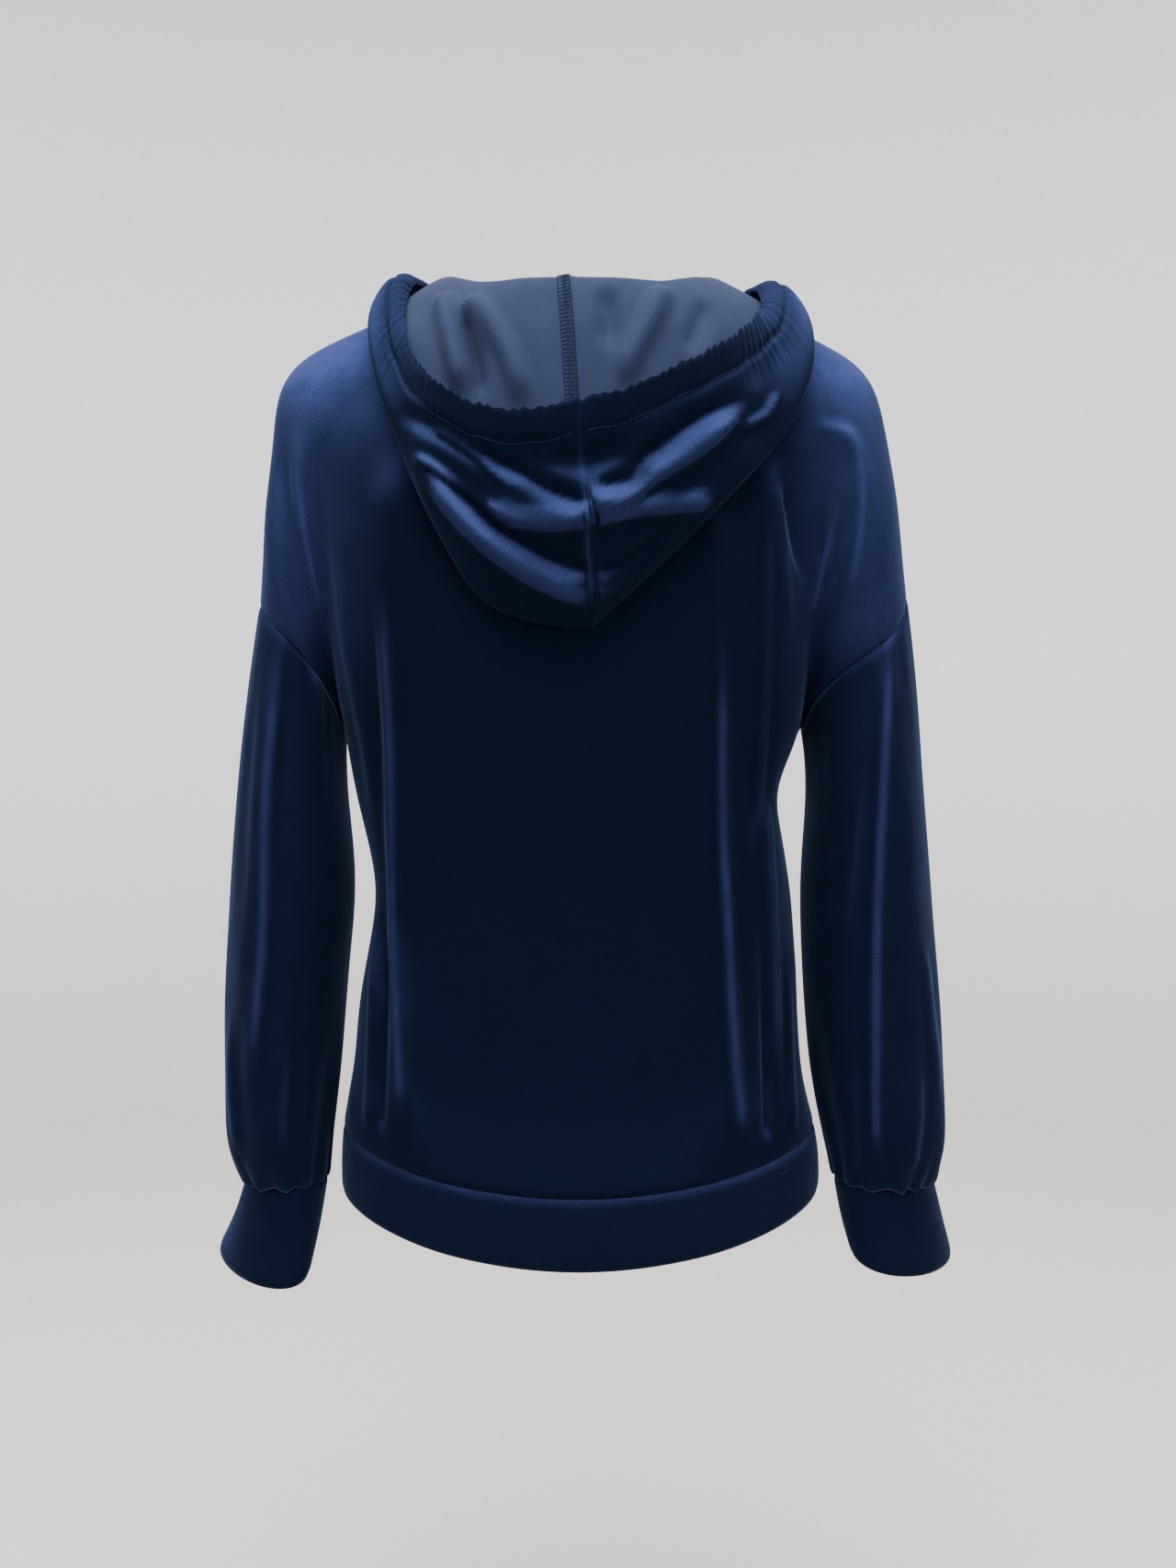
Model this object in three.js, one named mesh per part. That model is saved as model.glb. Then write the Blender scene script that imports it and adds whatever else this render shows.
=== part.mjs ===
// Pullover hoodie in stretch velvet, held in the hollow form of a general wearer.
// Millimetres, +Z up. The back of the garment faces +Y, and the wearer's left is +X.
// The origin is the level of the neck side of the shoulders, where the garment is held up.
import * as THREE from "three";

// Cloth and seams
const NAVY = 0x0d1830;
const VELVET_ROUGHNESS = 0.85;
const CLOTH_WALL = 1.6;
const DOUBLE_WALL = 2.4;
const CASING_WALL = 3.0;
const SEAM_GAP = 0.36;
const ARMHOLE_GAP = 0.9;
const HOOD_GAP = 0.5;

// Every cell of the hood counts as this many square millimetres where directions out of the
// cloth are averaged, which keeps its walls even in the tight folds. A pull at a sharper corner
// than this share is cut short, and points closer than one step are the same.
const HOOD_CELL_WEIGHT = 100;
const SHARPEST_CORNER = 0.5;
const STEPS_PER_MM = 1000;

// Cells of the panels, and the handles of their curves as shares of their width
const BODY_COLUMNS = [0, 0.15, 0.3, 0.38, 0.45, 0.52, 0.59, 0.66, 0.74, 0.82, 0.91, 1];
const ARM_CELLS = 8;
const YOKE_ROWS = 10;
const TORSO_ROWS = 12;
const BAND_ROWS = 2;
const SLEEVE_ROWS = 12;
const CUFF_ROWS = 2;
const SLEEVE_COLUMNS = 4 * ARM_CELLS;
const STAND_ROWS = 2;
const INNER_ROWS = 5;
const OUTER_ROWS = 7;
const ARC_HANDLE = 0.55;
const OUTWARD_X = 0.5;
const SIDE_HANDLE = 0.6;

// Height of the armpits, where the yoke rows end and the torso rings start
const ARMPIT_Z = -303;

// The line over the shoulder and down the arm to the armhole seam, and the valley between
// body and arm, as shares v of the way from the neck seam to the armhole
const LEFT_SIDE = [
  { v: 0.0, outerX: 84, outerY: 5, outerZ: -12, valleyX: 62, sag: 0 },
  { v: 0.15, outerX: 127, outerY: 1, outerZ: -32, valleyX: 95, sag: 0 },
  { v: 0.3, outerX: 166, outerY: -1, outerZ: -48, valleyX: 126, sag: 0 },
  { v: 0.42, outerX: 189, outerY: -2, outerZ: -62, valleyX: 147, sag: 0 },
  { v: 0.52, outerX: 199.5, outerY: -3, outerZ: -82, valleyX: 158, sag: 0 },
  { v: 0.65, outerX: 200, outerY: -4, outerZ: -118, valleyX: 162, sag: 0 },
  { v: 0.8, outerX: 203, outerY: -5, outerZ: -157, valleyX: 161, sag: 2 },
  { v: 0.9, outerX: 206.5, outerY: -5, outerZ: -187, valleyX: 158.5, sag: 8 },
  { v: 1.0, outerX: 210, outerY: -5, outerZ: -217, valleyX: 155, sag: 12 },
];
const RIGHT_SIDE = [
  { v: 0.0, outerX: 84, outerY: 5, outerZ: -12, valleyX: 62, sag: 0 },
  { v: 0.15, outerX: 127, outerY: 1, outerZ: -32, valleyX: 92, sag: 0 },
  { v: 0.3, outerX: 166, outerY: -1, outerZ: -50, valleyX: 118, sag: 0 },
  { v: 0.42, outerX: 188, outerY: -2, outerZ: -64, valleyX: 134, sag: 0 },
  { v: 0.52, outerX: 197.5, outerY: -3, outerZ: -82, valleyX: 142, sag: 0 },
  { v: 0.65, outerX: 202.5, outerY: -4, outerZ: -112, valleyX: 147, sag: 6 },
  { v: 0.8, outerX: 208.5, outerY: -5, outerZ: -147, valleyX: 148, sag: 20 },
  { v: 0.9, outerX: 212, outerY: -5, outerZ: -175, valleyX: 147, sag: 38 },
  { v: 1.0, outerX: 216, outerY: -5, outerZ: -204, valleyX: 146, sag: 54 },
];

// Depth and height of the centre line and the valley for the same shares. Lean is the way the
// section runs at the valley: 0 straight out, 90 straight towards the side seam.
const BACK_YOKE = [
  { v: 0.0, centreY: 72, centreZ: -44, valleyY: 53, valleyZ: -36, lean: 50, armLean: 50,
    rise: 0.3, armRise: 0.3, armReach: 15, armDepth: 20 },
  { v: 0.2, centreY: 84, centreZ: -93, valleyY: 64, valleyZ: -68, lean: 22, armLean: 22,
    rise: 0.25, armRise: 0.25, armReach: 18, armDepth: 30 },
  { v: 0.4, centreY: 94, centreZ: -140, valleyY: 70, valleyZ: -108, lean: 24, armLean: 20,
    rise: 0.1, armRise: 0.1, armReach: 20, armDepth: 40 },
  { v: 0.6, centreY: 101, centreZ: -190, valleyY: 68, valleyZ: -160, lean: 38, armLean: 5,
    rise: 0, armRise: 0.05, armReach: 24, armDepth: 55 },
  { v: 0.8, centreY: 104, centreZ: -245, valleyY: 53, valleyZ: -218, lean: 64, armLean: -40,
    rise: 0, armRise: 0.15, armReach: 40, armDepth: 74 },
  { v: 0.9, centreY: 105, centreZ: -274, valleyY: 32, valleyZ: -262, lean: 80, armLean: -75,
    rise: 0, armRise: 0.4, armReach: 62, armDepth: 80 },
  { v: 1.0, centreY: 105, centreZ: ARMPIT_Z, valleyY: 0, valleyZ: ARMPIT_Z, lean: 90, armLean: -90,
    rise: 0, armRise: 0.62, armReach: 90, armDepth: 84 },
];
const FRONT_YOKE = [
  { v: 0.0, centreY: 88, centreZ: -98, valleyY: 54, valleyZ: -62, lean: 52, armLean: 52,
    rise: 0.7, armRise: 0.7, armReach: 24, armDepth: 22 },
  { v: 0.2, centreY: 98, centreZ: -130, valleyY: 64, valleyZ: -90, lean: 32, armLean: 32,
    rise: 0.4, armRise: 0.4, armReach: 24, armDepth: 32 },
  { v: 0.4, centreY: 109, centreZ: -166, valleyY: 70, valleyZ: -126, lean: 28, armLean: 24,
    rise: 0.2, armRise: 0.2, armReach: 24, armDepth: 42 },
  { v: 0.6, centreY: 118, centreZ: -207, valleyY: 69, valleyZ: -170, lean: 42, armLean: 8,
    rise: 0.05, armRise: 0.1, armReach: 26, armDepth: 56 },
  { v: 0.8, centreY: 123, centreZ: -252, valleyY: 54, valleyZ: -222, lean: 66, armLean: -40,
    rise: 0, armRise: 0.15, armReach: 40, armDepth: 74 },
  { v: 0.9, centreY: 124.5, centreZ: -277, valleyY: 33, valleyZ: -264, lean: 80, armLean: -75,
    rise: 0, armRise: 0.4, armReach: 62, armDepth: 80 },
  { v: 1.0, centreY: 125, centreZ: ARMPIT_Z, valleyY: 0, valleyZ: ARMPIT_Z, lean: 90, armLean: -90,
    rise: 0, armRise: 0.62, armReach: 90, armDepth: 84 },
];

// Torso rings below the armpits. Z is the height at the side seams, and the drops say how
// much lower the ring runs at the centre back and centre front.
const TORSO = [
  { z: ARMPIT_Z, leftX: 155, rightX: 146, backY: 105, frontY: 125, backDrop: 0, frontDrop: 0 },
  { z: -320, leftX: 152, rightX: 138.5, backY: 104.5, frontY: 124.5, backDrop: 1, frontDrop: 1 },
  { z: -340, leftX: 148.5, rightX: 128.5, backY: 104, frontY: 123, backDrop: 2, frontDrop: 2 },
  { z: -366, leftX: 142, rightX: 132.5, backY: 102, frontY: 120, backDrop: 4, frontDrop: 3 },
  { z: -405, leftX: 134, rightX: 139, backY: 100.5, frontY: 115, backDrop: 6, frontDrop: 4 },
  { z: -440, leftX: 138, rightX: 141.5, backY: 102, frontY: 111, backDrop: 9, frontDrop: 6 },
  { z: -480, leftX: 145.5, rightX: 142.5, backY: 106, frontY: 108, backDrop: 12, frontDrop: 8 },
  { z: -520, leftX: 148.5, rightX: 145, backY: 111, frontY: 106.5, backDrop: 16, frontDrop: 10 },
  { z: -545, leftX: 153.5, rightX: 150.5, backY: 115.5, frontY: 106, backDrop: 19, frontDrop: 11 },
  { z: -559, leftX: 155.5, rightX: 154.5, backY: 118, frontY: 106, backDrop: 21, frontDrop: 12 },
];

// Hem band, from its seam to its lower edge
const BAND = [
  { z: -559, leftX: 155.5, rightX: 154.5, backY: 118, frontY: 106, backDrop: 21, frontDrop: 12 },
  { z: -579, leftX: 157, rightX: 158, backY: 120, frontY: 106.5, backDrop: 22.5, frontDrop: 13 },
  { z: -598, leftX: 156.5, rightX: 157.5, backY: 119, frontY: 105.5, backDrop: 24, frontDrop: 14 },
];

// Sleeve and cuff sections along the share s of their length: the outer and inner side lines,
// the half depth from front to back, the depth at which the section is centred, how far its
// inner side turns to the back, and how much lower it runs at the back
const LEFT_SLEEVE = [
  { s: 0, outerX: 210, outerZ: -217, innerX: 155, innerZ: ARMPIT_Z, depth: 66, midY: -2, turnIn: 0 },
  { s: 0.12, outerX: 216, outerZ: -264, innerX: 155.5, innerZ: -325, depth: 68, midY: 0, turnIn: 0 },
  { s: 0.25, outerX: 222, outerZ: -323, innerX: 154.5, innerZ: -350, depth: 69, midY: 2, turnIn: 0 },
  { s: 0.45, outerX: 228, outerZ: -410, innerX: 148.5, innerZ: -405, depth: 68, midY: 4, turnIn: 0 },
  { s: 0.6, outerX: 229, outerZ: -462, innerX: 153, innerZ: -460, depth: 67, midY: 6, turnIn: 1 },
  { s: 0.75, outerX: 229, outerZ: -516, innerX: 156, innerZ: -512, depth: 64, midY: 8, turnIn: 3 },
  { s: 0.88, outerX: 230, outerZ: -560, innerX: 161, innerZ: -556, depth: 58, midY: 10, turnIn: 6 },
  { s: 0.95, outerX: 229.5, outerZ: -583, innerX: 162, innerZ: -579, depth: 48, midY: 12, turnIn: 8 },
  { s: 1, outerX: 220, outerZ: -597, innerX: 163, innerZ: -592, depth: 36, midY: 13, turnIn: 9 },
];
const RIGHT_SLEEVE = [
  { s: 0, outerX: 216, outerZ: -204, innerX: 146, innerZ: ARMPIT_Z, depth: 66, midY: -2, turnIn: 0 },
  { s: 0.12, outerX: 221, outerZ: -256, innerX: 149, innerZ: -325, depth: 68, midY: 0, turnIn: 0 },
  { s: 0.25, outerX: 224, outerZ: -320, innerX: 150, innerZ: -352, depth: 69, midY: 2, turnIn: 0 },
  { s: 0.45, outerX: 229.5, outerZ: -405, innerX: 146, innerZ: -405, depth: 68, midY: 4, turnIn: 0 },
  { s: 0.6, outerX: 232.5, outerZ: -460, innerX: 147, innerZ: -460, depth: 66, midY: 6, turnIn: 1 },
  { s: 0.75, outerX: 235.5, outerZ: -516, innerX: 150.5, innerZ: -514, depth: 64, midY: 8, turnIn: 2 },
  { s: 0.88, outerX: 239, outerZ: -558, innerX: 158, innerZ: -556, depth: 58, midY: 10, turnIn: 4 },
  { s: 0.95, outerX: 239, outerZ: -582, innerX: 163, innerZ: -580, depth: 49, midY: 12, turnIn: 6 },
  { s: 1, outerX: 232.5, outerZ: -597, innerX: 165, innerZ: -593, depth: 37, midY: 13, turnIn: 7 },
];
const LEFT_CUFF = [
  { s: 0, outerX: 220, outerZ: -597, innerX: 163, innerZ: -592, depth: 36, midY: 13, turnIn: 9,
    backDrop: 0 },
  { s: 0.5, outerX: 228, outerZ: -620, innerX: 166, innerZ: -622, depth: 33, midY: 14, turnIn: 15,
    backDrop: 4 },
  { s: 1, outerX: 240, outerZ: -643, innerX: 172, innerZ: -650, depth: 30, midY: 15, turnIn: 22,
    backDrop: 7 },
];
const RIGHT_CUFF = [
  { s: 0, outerX: 232.5, outerZ: -597, innerX: 165, innerZ: -593, depth: 37, midY: 13, turnIn: 7,
    backDrop: 0 },
  { s: 0.5, outerX: 239, outerZ: -621, innerX: 168, innerZ: -616, depth: 34, midY: 14, turnIn: 11,
    backDrop: 4 },
  { s: 1, outerX: 246, outerZ: -645, innerX: 174, innerZ: -638, depth: 31, midY: 15, turnIn: 16,
    backDrop: 7 },
];
const SLEEVE_BLEND = 0.55;

// Long soft folds down a sleeve, by their place around it, and the gathers into the cuff
const SLEEVE_FOLDS = [
  { turn: 0.3, from: 0.04, to: 0.9, width: 0.045, height: 5 },
  { turn: 0.14, from: 0.02, to: 0.4, width: 0.04, height: 3.5 },
  { turn: 0.42, from: 0.5, to: 0.97, width: 0.035, height: 3 },
  { turn: 0.68, from: 0.05, to: 0.85, width: 0.045, height: 5 },
  { turn: 0.86, from: 0.3, to: 0.95, width: 0.04, height: 3.5 },
];
const CUFF_GATHERS = 8;
const GATHER_HEIGHT = 2.6;
const GATHER_START = 0.7;

// Folds over the body, as two joined lines in the plane of the back or front. A height below
// nothing is a trough.
const BACK_FOLDS = [
  { fromX: 114, fromZ: -165, midX: 116, midZ: -330, toX: 108, toZ: -552, width: 11, height: 6 },
  { fromX: -84, fromZ: -190, midX: -88, midZ: -360, toX: -94, toZ: -552, width: 11, height: 6 },
  { fromX: -115, fromZ: -145, midX: -118, midZ: -330, toX: -103, toZ: -430, width: 8, height: 4 },
  { fromX: -118, fromZ: -356, midX: -121, midZ: -430, toX: -123, toZ: -545, width: 8, height: 5 },
  { fromX: -178, fromZ: -116, midX: -184, midZ: -150, toX: -170, toZ: -222, width: 9, height: 4 },
  { fromX: -131, fromZ: -151, midX: -138, midZ: -180, toX: -145, toZ: -209, width: 8, height: -4 },
  { fromX: -161, fromZ: -168, midX: -154, midZ: -205, toX: -148, toZ: -232, width: 8, height: 4 },
  { fromX: 189, fromZ: -105, midX: 184, midZ: -165, toX: 175, toZ: -215, width: 8, height: -3.5 },
  { fromX: 130, fromZ: -440, midX: 131, midZ: -500, toX: 132, toZ: -545, width: 7, height: 3.5 },
  { fromX: -136, fromZ: -450, midX: -137, midZ: -500, toX: -138, toZ: -545, width: 6, height: 3 },
];
const FRONT_FOLDS = [
  { fromX: 92, fromZ: -200, midX: 96, midZ: -360, toX: 90, toZ: -545, width: 12, height: 6 },
  { fromX: -98, fromZ: -180, midX: -94, midZ: -350, toX: -100, toZ: -545, width: 12, height: 6 },
  { fromX: -118, fromZ: -330, midX: -120, midZ: -430, toX: -122, toZ: -540, width: 9, height: 4 },
  { fromX: 122, fromZ: -300, midX: 122, midZ: -420, toX: 126, toZ: -540, width: 9, height: 4 },
  { fromX: 176, fromZ: -112, midX: 178, midZ: -160, toX: 168, toZ: -215, width: 9, height: 3.5 },
  { fromX: -176, fromZ: -112, midX: -180, midZ: -160, toX: -168, toZ: -215, width: 9, height: 3.5 },
];
const FOLD_FADE_DEPTH = 28;

// Hood lying down the back. Stations run along the neck seam, a from 0 at the centre back to 1
// at the centre front. From the seam the cloth stands up, rolls over outwards, runs down to the
// fold at the bottom of the bag and back up to the rim. X grows towards the panel's own side.
const LEFT_HOOD = [
  { a: 0, up: 17, rollX: 8, foldX: -7, foldY: 110, foldZ: -249, rimX: -0.5, rimY: 146, rimZ: -121 },
  { a: 0.08, up: 16, rollX: 4, foldX: 23, foldY: 110, foldZ: -246, rimX: 30, rimY: 144, rimZ: -127 },
  { a: 0.15, up: 14, rollX: 1, foldX: 56, foldY: 109, foldZ: -233, rimX: 54, rimY: 138, rimZ: -123 },
  { a: 0.2, up: 13, rollX: 0, foldX: 73, foldY: 109, foldZ: -208, rimX: 68, rimY: 130, rimZ: -116 },
  { a: 0.26, up: 12, rollX: 0, foldX: 88, foldY: 106, foldZ: -178, rimX: 85, rimY: 118, rimZ: -102 },
  { a: 0.32, up: 12, rollX: 0, foldX: 103, foldY: 99, foldZ: -143, rimX: 98, rimY: 100, rimZ: -85 },
  { a: 0.38, up: 9, rollX: 0, foldX: 117, foldY: 86, foldZ: -108, rimX: 106, rimY: 78, rimZ: -63 },
  { a: 0.44, up: 5, rollX: 0, foldX: 127, foldY: 66, foldZ: -72, rimX: 109, rimY: 50, rimZ: -36 },
  { a: 0.5, up: 3, rollX: 0, foldX: 131, foldY: 40, foldZ: -46, rimX: 107, rimY: 22, rimZ: -14 },
  { a: 0.56, up: 3, rollX: 0, foldX: 128, foldY: 8, foldZ: -30, rimX: 102, rimY: -4, rimZ: -5 },
  { a: 0.65, up: 7, rollX: 0, foldX: 116, foldY: -30, foldZ: -37, rimX: 92, rimY: -34, rimZ: -4 },
  { a: 0.75, up: 11, rollX: 0, foldX: 96, foldY: -66, foldZ: -65, rimX: 79, rimY: -68, rimZ: -28 },
  { a: 0.87, up: 10, rollX: 0, foldX: 53, foldY: -97, foldZ: -92, rimX: 46, rimY: -98, rimZ: -64 },
  { a: 1, up: 8, rollX: 1, foldX: 1.2, foldY: -101, foldZ: -93, rimX: 1.2, rimY: -108, rimZ: -76 },
];
const RIGHT_HOOD = [
  { a: 0, up: 17, rollX: -8, foldX: 7, foldY: 110, foldZ: -249, rimX: 0.5, rimY: 146, rimZ: -121 },
  { a: 0.08, up: 16, rollX: -4, foldX: 22, foldY: 110, foldZ: -236, rimX: 29, rimY: 146, rimZ: -115 },
  { a: 0.15, up: 14, rollX: -1, foldX: 42, foldY: 109, foldZ: -217, rimX: 52, rimY: 138, rimZ: -102 },
  { a: 0.21, up: 13, rollX: 0, foldX: 63, foldY: 107, foldZ: -196, rimX: 70, rimY: 128, rimZ: -91 },
  { a: 0.27, up: 14, rollX: 0, foldX: 87, foldY: 103, foldZ: -170, rimX: 88, rimY: 112, rimZ: -77 },
  { a: 0.32, up: 14, rollX: 0, foldX: 108, foldY: 95, foldZ: -147, rimX: 99, rimY: 98, rimZ: -66 },
  { a: 0.37, up: 10, rollX: 0, foldX: 126, foldY: 85, foldZ: -124, rimX: 107, rimY: 83, rimZ: -55 },
  { a: 0.42, up: 6, rollX: 0, foldX: 138, foldY: 72, foldZ: -98, rimX: 112, rimY: 64, rimZ: -44 },
  { a: 0.47, up: 3, rollX: 0, foldX: 145, foldY: 56, foldZ: -72, rimX: 115, rimY: 45, rimZ: -33 },
  { a: 0.52, up: 3, rollX: 0, foldX: 145, foldY: 32, foldZ: -46, rimX: 115, rimY: 20, rimZ: -17 },
  { a: 0.58, up: 4, rollX: 0, foldX: 138, foldY: 2, foldZ: -31, rimX: 111, rimY: -6, rimZ: -9 },
  { a: 0.67, up: 8, rollX: 0, foldX: 123, foldY: -33, foldZ: -40, rimX: 98, rimY: -37, rimZ: -9 },
  { a: 0.77, up: 11, rollX: 0, foldX: 97, foldY: -68, foldZ: -67, rimX: 80, rimY: -70, rimZ: -31 },
  { a: 0.88, up: 10, rollX: 0, foldX: 52, foldY: -98, foldZ: -92, rimX: 45, rimY: -99, rimZ: -64 },
  { a: 1, up: 8, rollX: 1, foldX: 1.2, foldY: -101, foldZ: -93, rimX: 1.2, rimY: -108, rimZ: -76 },
];

// How the hood rolls, on both sides: the way out from the seam to the roll, the share of the
// way down over which the roll runs level, how far the cloth bulges beyond the rim, and how
// steeply it comes to the rim, from above where the number is over nothing
const HOOD_ROLL = [
  { a: 0, out: 7, level: 0.6, bulge: 4, lift: -0.4 },
  { a: 0.3, out: 7, level: 0.55, bulge: 4, lift: -0.4 },
  { a: 0.38, out: 7, level: 0.35, bulge: 6, lift: -0.3 },
  { a: 0.45, out: 6, level: 0.22, bulge: 12, lift: 0.1 },
  { a: 0.52, out: 6, level: 0.3, bulge: 16, lift: 0.5 },
  { a: 0.62, out: 6, level: 0.25, bulge: 14, lift: 0.3 },
  { a: 0.74, out: 6, level: 0.2, bulge: 8, lift: -0.2 },
  { a: 0.88, out: 5, level: 0.3, bulge: 4, lift: -0.4 },
  { a: 1, out: 4, level: 0.3, bulge: 4, lift: -0.4 },
];
const STAND_HANDLE = 0.6;
const FOLD_HANDLE = 0.08;
const BAG_HANDLE = 0.35;
const BAG_HANDLE_MAX = 14;

// Swags across the outside of the hood's bag, and the small puckers of its gathered casing
const HOOD_FOLDS = [
  { fromX: 84, fromZ: -131, midX: 42, midZ: -158, toX: -8, toZ: -187, width: 10, height: 8 },
  { fromX: 89, fromZ: -158, midX: 54, midZ: -203, toX: -8, toZ: -229, width: 10, height: 7 },
  { fromX: 70, fromZ: -160, midX: 46, midZ: -182, toX: 6, toZ: -208, width: 8, height: -6 },
  { fromX: 34, fromZ: -144, midX: 14, midZ: -152, toX: -4, toZ: -156, width: 13, height: -11 },
  { fromX: -8, fromZ: -174, midX: -52, midZ: -148, toX: -99, toZ: -108, width: 9, height: 7 },
  { fromX: -12, fromZ: -190, midX: -82, midZ: -172, toX: -101, toZ: -148, width: 9, height: 7 },
  { fromX: -12, fromZ: -218, midX: -33, midZ: -210, toX: -52, toZ: -198, width: 8, height: 5 },
  { fromX: -16, fromZ: -204, midX: -40, midZ: -196, toX: -66, toZ: -186, width: 7, height: -5 },
];
const CASING_SHARE = 0.86;
const PUCKER_HEIGHT = 1.1;
const PUCKER_STEP = 2.3;

// Reading the tables
function slopeAt(table, index, key, column) {
  const before = table[Math.max(index - 1, 0)];
  const after = table[Math.min(index + 1, table.length - 1)];
  return (after[column] - before[column]) / (after[key] - before[key]);
}

function rowAt(table, key, at) {
  const sign = Math.sign(table[table.length - 1][key] - table[0][key]);
  let index = 0;
  while (index < table.length - 2 && sign * at > sign * table[index + 1][key]) index += 1;
  const from = table[index];
  const to = table[index + 1];
  const span = to[key] - from[key];
  const u = (at - from[key]) / span;
  const row = {};
  for (const column of Object.keys(from)) {
    const startSlope = slopeAt(table, index, key, column) * span;
    const endSlope = slopeAt(table, index + 1, key, column) * span;
    const u2 = u * u;
    const u3 = u2 * u;
    row[column] = from[column] * (2 * u3 - 3 * u2 + 1) + startSlope * (u3 - 2 * u2 + u)
      + to[column] * (3 * u2 - 2 * u3) + endSlope * (u3 - u2);
  }
  return row;
}

function bezier(start, handleA, handleB, end, u) {
  const w = 1 - u;
  return new THREE.Vector3()
    .addScaledVector(start, w * w * w)
    .addScaledVector(handleA, 3 * w * w * u)
    .addScaledVector(handleB, 3 * w * u * u)
    .addScaledVector(end, u * u * u);
}

function leanDirection(degrees, rise) {
  const angle = THREE.MathUtils.degToRad(degrees);
  return new THREE.Vector3(Math.cos(angle), -Math.sin(angle), rise).normalize();
}

// Distance in the plane of X and Z from a point to the line between two others
function lineDistance(x, z, ax, az, bx, bz) {
  const along = ((x - ax) * (bx - ax) + (z - az) * (bz - az)) / ((bx - ax) ** 2 + (bz - az) ** 2);
  const share = Math.min(Math.max(along, 0), 1);
  return Math.hypot(x - ax - share * (bx - ax), z - az - share * (bz - az));
}

function foldHeight(folds, x, z) {
  let height = 0;
  for (const fold of folds) {
    const upper = lineDistance(x, z, fold.fromX, fold.fromZ, fold.midX, fold.midZ);
    const lower = lineDistance(x, z, fold.midX, fold.midZ, fold.toX, fold.toZ);
    height += fold.height * Math.exp(-((Math.min(upper, lower) / fold.width) ** 2));
  }
  return height;
}

// Pushes a body point out by the folds of its face, and by nothing at the side seams
function creased(face, point) {
  const away = Math.min(Math.abs(point.y) / FOLD_FADE_DEPTH, 1);
  const height = foldHeight(face.folds, point.x, point.z) * away * away;
  const out = new THREE.Vector3(point.x * OUTWARD_X, point.y, 0).normalize();
  return point.addScaledVector(out, height);
}

// Yoke: t runs from 0 at the centre line to 1 at the valley and 2 on the shoulder line
const FACES = {
  back: { sign: 1, yoke: BACK_YOKE, folds: BACK_FOLDS },
  front: { sign: -1, yoke: FRONT_YOKE, folds: FRONT_FOLDS },
};
const SIDES = {
  left: {
    sign: 1, side: LEFT_SIDE, width: "leftX", sleeve: LEFT_SLEEVE, cuff: LEFT_CUFF, hood: LEFT_HOOD,
  },
  right: {
    sign: -1, side: RIGHT_SIDE, width: "rightX", sleeve: RIGHT_SLEEVE, cuff: RIGHT_CUFF,
    hood: RIGHT_HOOD,
  },
};

function yokePoint(face, side, v, t) {
  const line = rowAt(side.side, "v", v);
  const row = rowAt(face.yoke, "v", v);
  const centre = new THREE.Vector3(0, row.centreY, row.centreZ);
  const valley = new THREE.Vector3(line.valleyX, row.valleyY, row.valleyZ);
  const point = t <= 1 ? bodyArc(row, centre, valley, t) : armArc(face, line, row, valley, t - 1);
  point.x *= side.sign;
  point.y *= face.sign;
  return creased(face, point);
}

function bodyArc(row, centre, valley, u) {
  const direction = leanDirection(row.lean, row.rise);
  const reach = SIDE_HANDLE * ((centre.y - valley.y) * -direction.y
    + SIDE_HANDLE * valley.x * direction.x);
  const handleA = new THREE.Vector3(ARC_HANDLE * valley.x, centre.y, centre.z);
  const handleB = valley.clone().addScaledVector(direction, -reach);
  return bezier(centre, handleA, handleB, valley, u);
}

function armArc(face, line, row, valley, u) {
  const outer = new THREE.Vector3(line.outerX, line.outerY * face.sign, line.outerZ);
  const handleA = valley.clone().addScaledVector(leanDirection(row.armLean, row.armRise), row.armReach);
  const handleB = outer.clone();
  handleB.y += row.armDepth;
  handleB.z -= line.sag;
  return bezier(valley, handleA, handleB, outer, u);
}

// Torso and hem band rings, quarter by quarter, t from 0 at the centre to 1 at the side seam
function ringPoint(table, face, side, z, t) {
  const row = rowAt(table, "z", z);
  const isBack = face.sign > 0;
  const depth = isBack ? row.backY : row.frontY;
  const drop = isBack ? row.backDrop : row.frontDrop;
  const width = row[side.width];
  const point = bezier(
    new THREE.Vector3(0, depth, z - drop),
    new THREE.Vector3(ARC_HANDLE * width, depth, z - drop),
    new THREE.Vector3(width, SIDE_HANDLE * depth, z),
    new THREE.Vector3(width, 0, z),
    t,
  );
  point.x *= side.sign;
  point.y *= face.sign;
  return creased(face, point);
}

// Sleeve and cuff rings, turn from 0 at the inner side over the back to 0.5 at the outer side
function tubePoint(table, side, s, turn) {
  const row = rowAt(table, "s", s);
  const angle = 2 * Math.PI * turn;
  const outward = (1 - Math.cos(angle)) / 2;
  return new THREE.Vector3(
    side.sign * THREE.MathUtils.lerp(row.innerX, row.outerX, outward),
    row.midY + row.depth * Math.sin(angle) + row.turnIn * Math.cos(angle),
    THREE.MathUtils.lerp(row.innerZ, row.outerZ, outward) - (row.backDrop ?? 0) * Math.sin(angle),
  );
}

// The armhole seam, taken from the yoke's own edge so that both sides of the seam agree
function armholePoint(side, turn) {
  const face = turn <= 0.5 ? FACES.back : FACES.front;
  const share = (turn <= 0.5 ? turn : 1 - turn) * 2;
  const cell = Math.min(Math.floor(share * ARM_CELLS), ARM_CELLS - 1);
  const from = yokePoint(face, side, 1, 1 + cell / ARM_CELLS);
  const to = yokePoint(face, side, 1, 1 + (cell + 1) / ARM_CELLS);
  return from.lerp(to, share * ARM_CELLS - cell);
}

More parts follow.
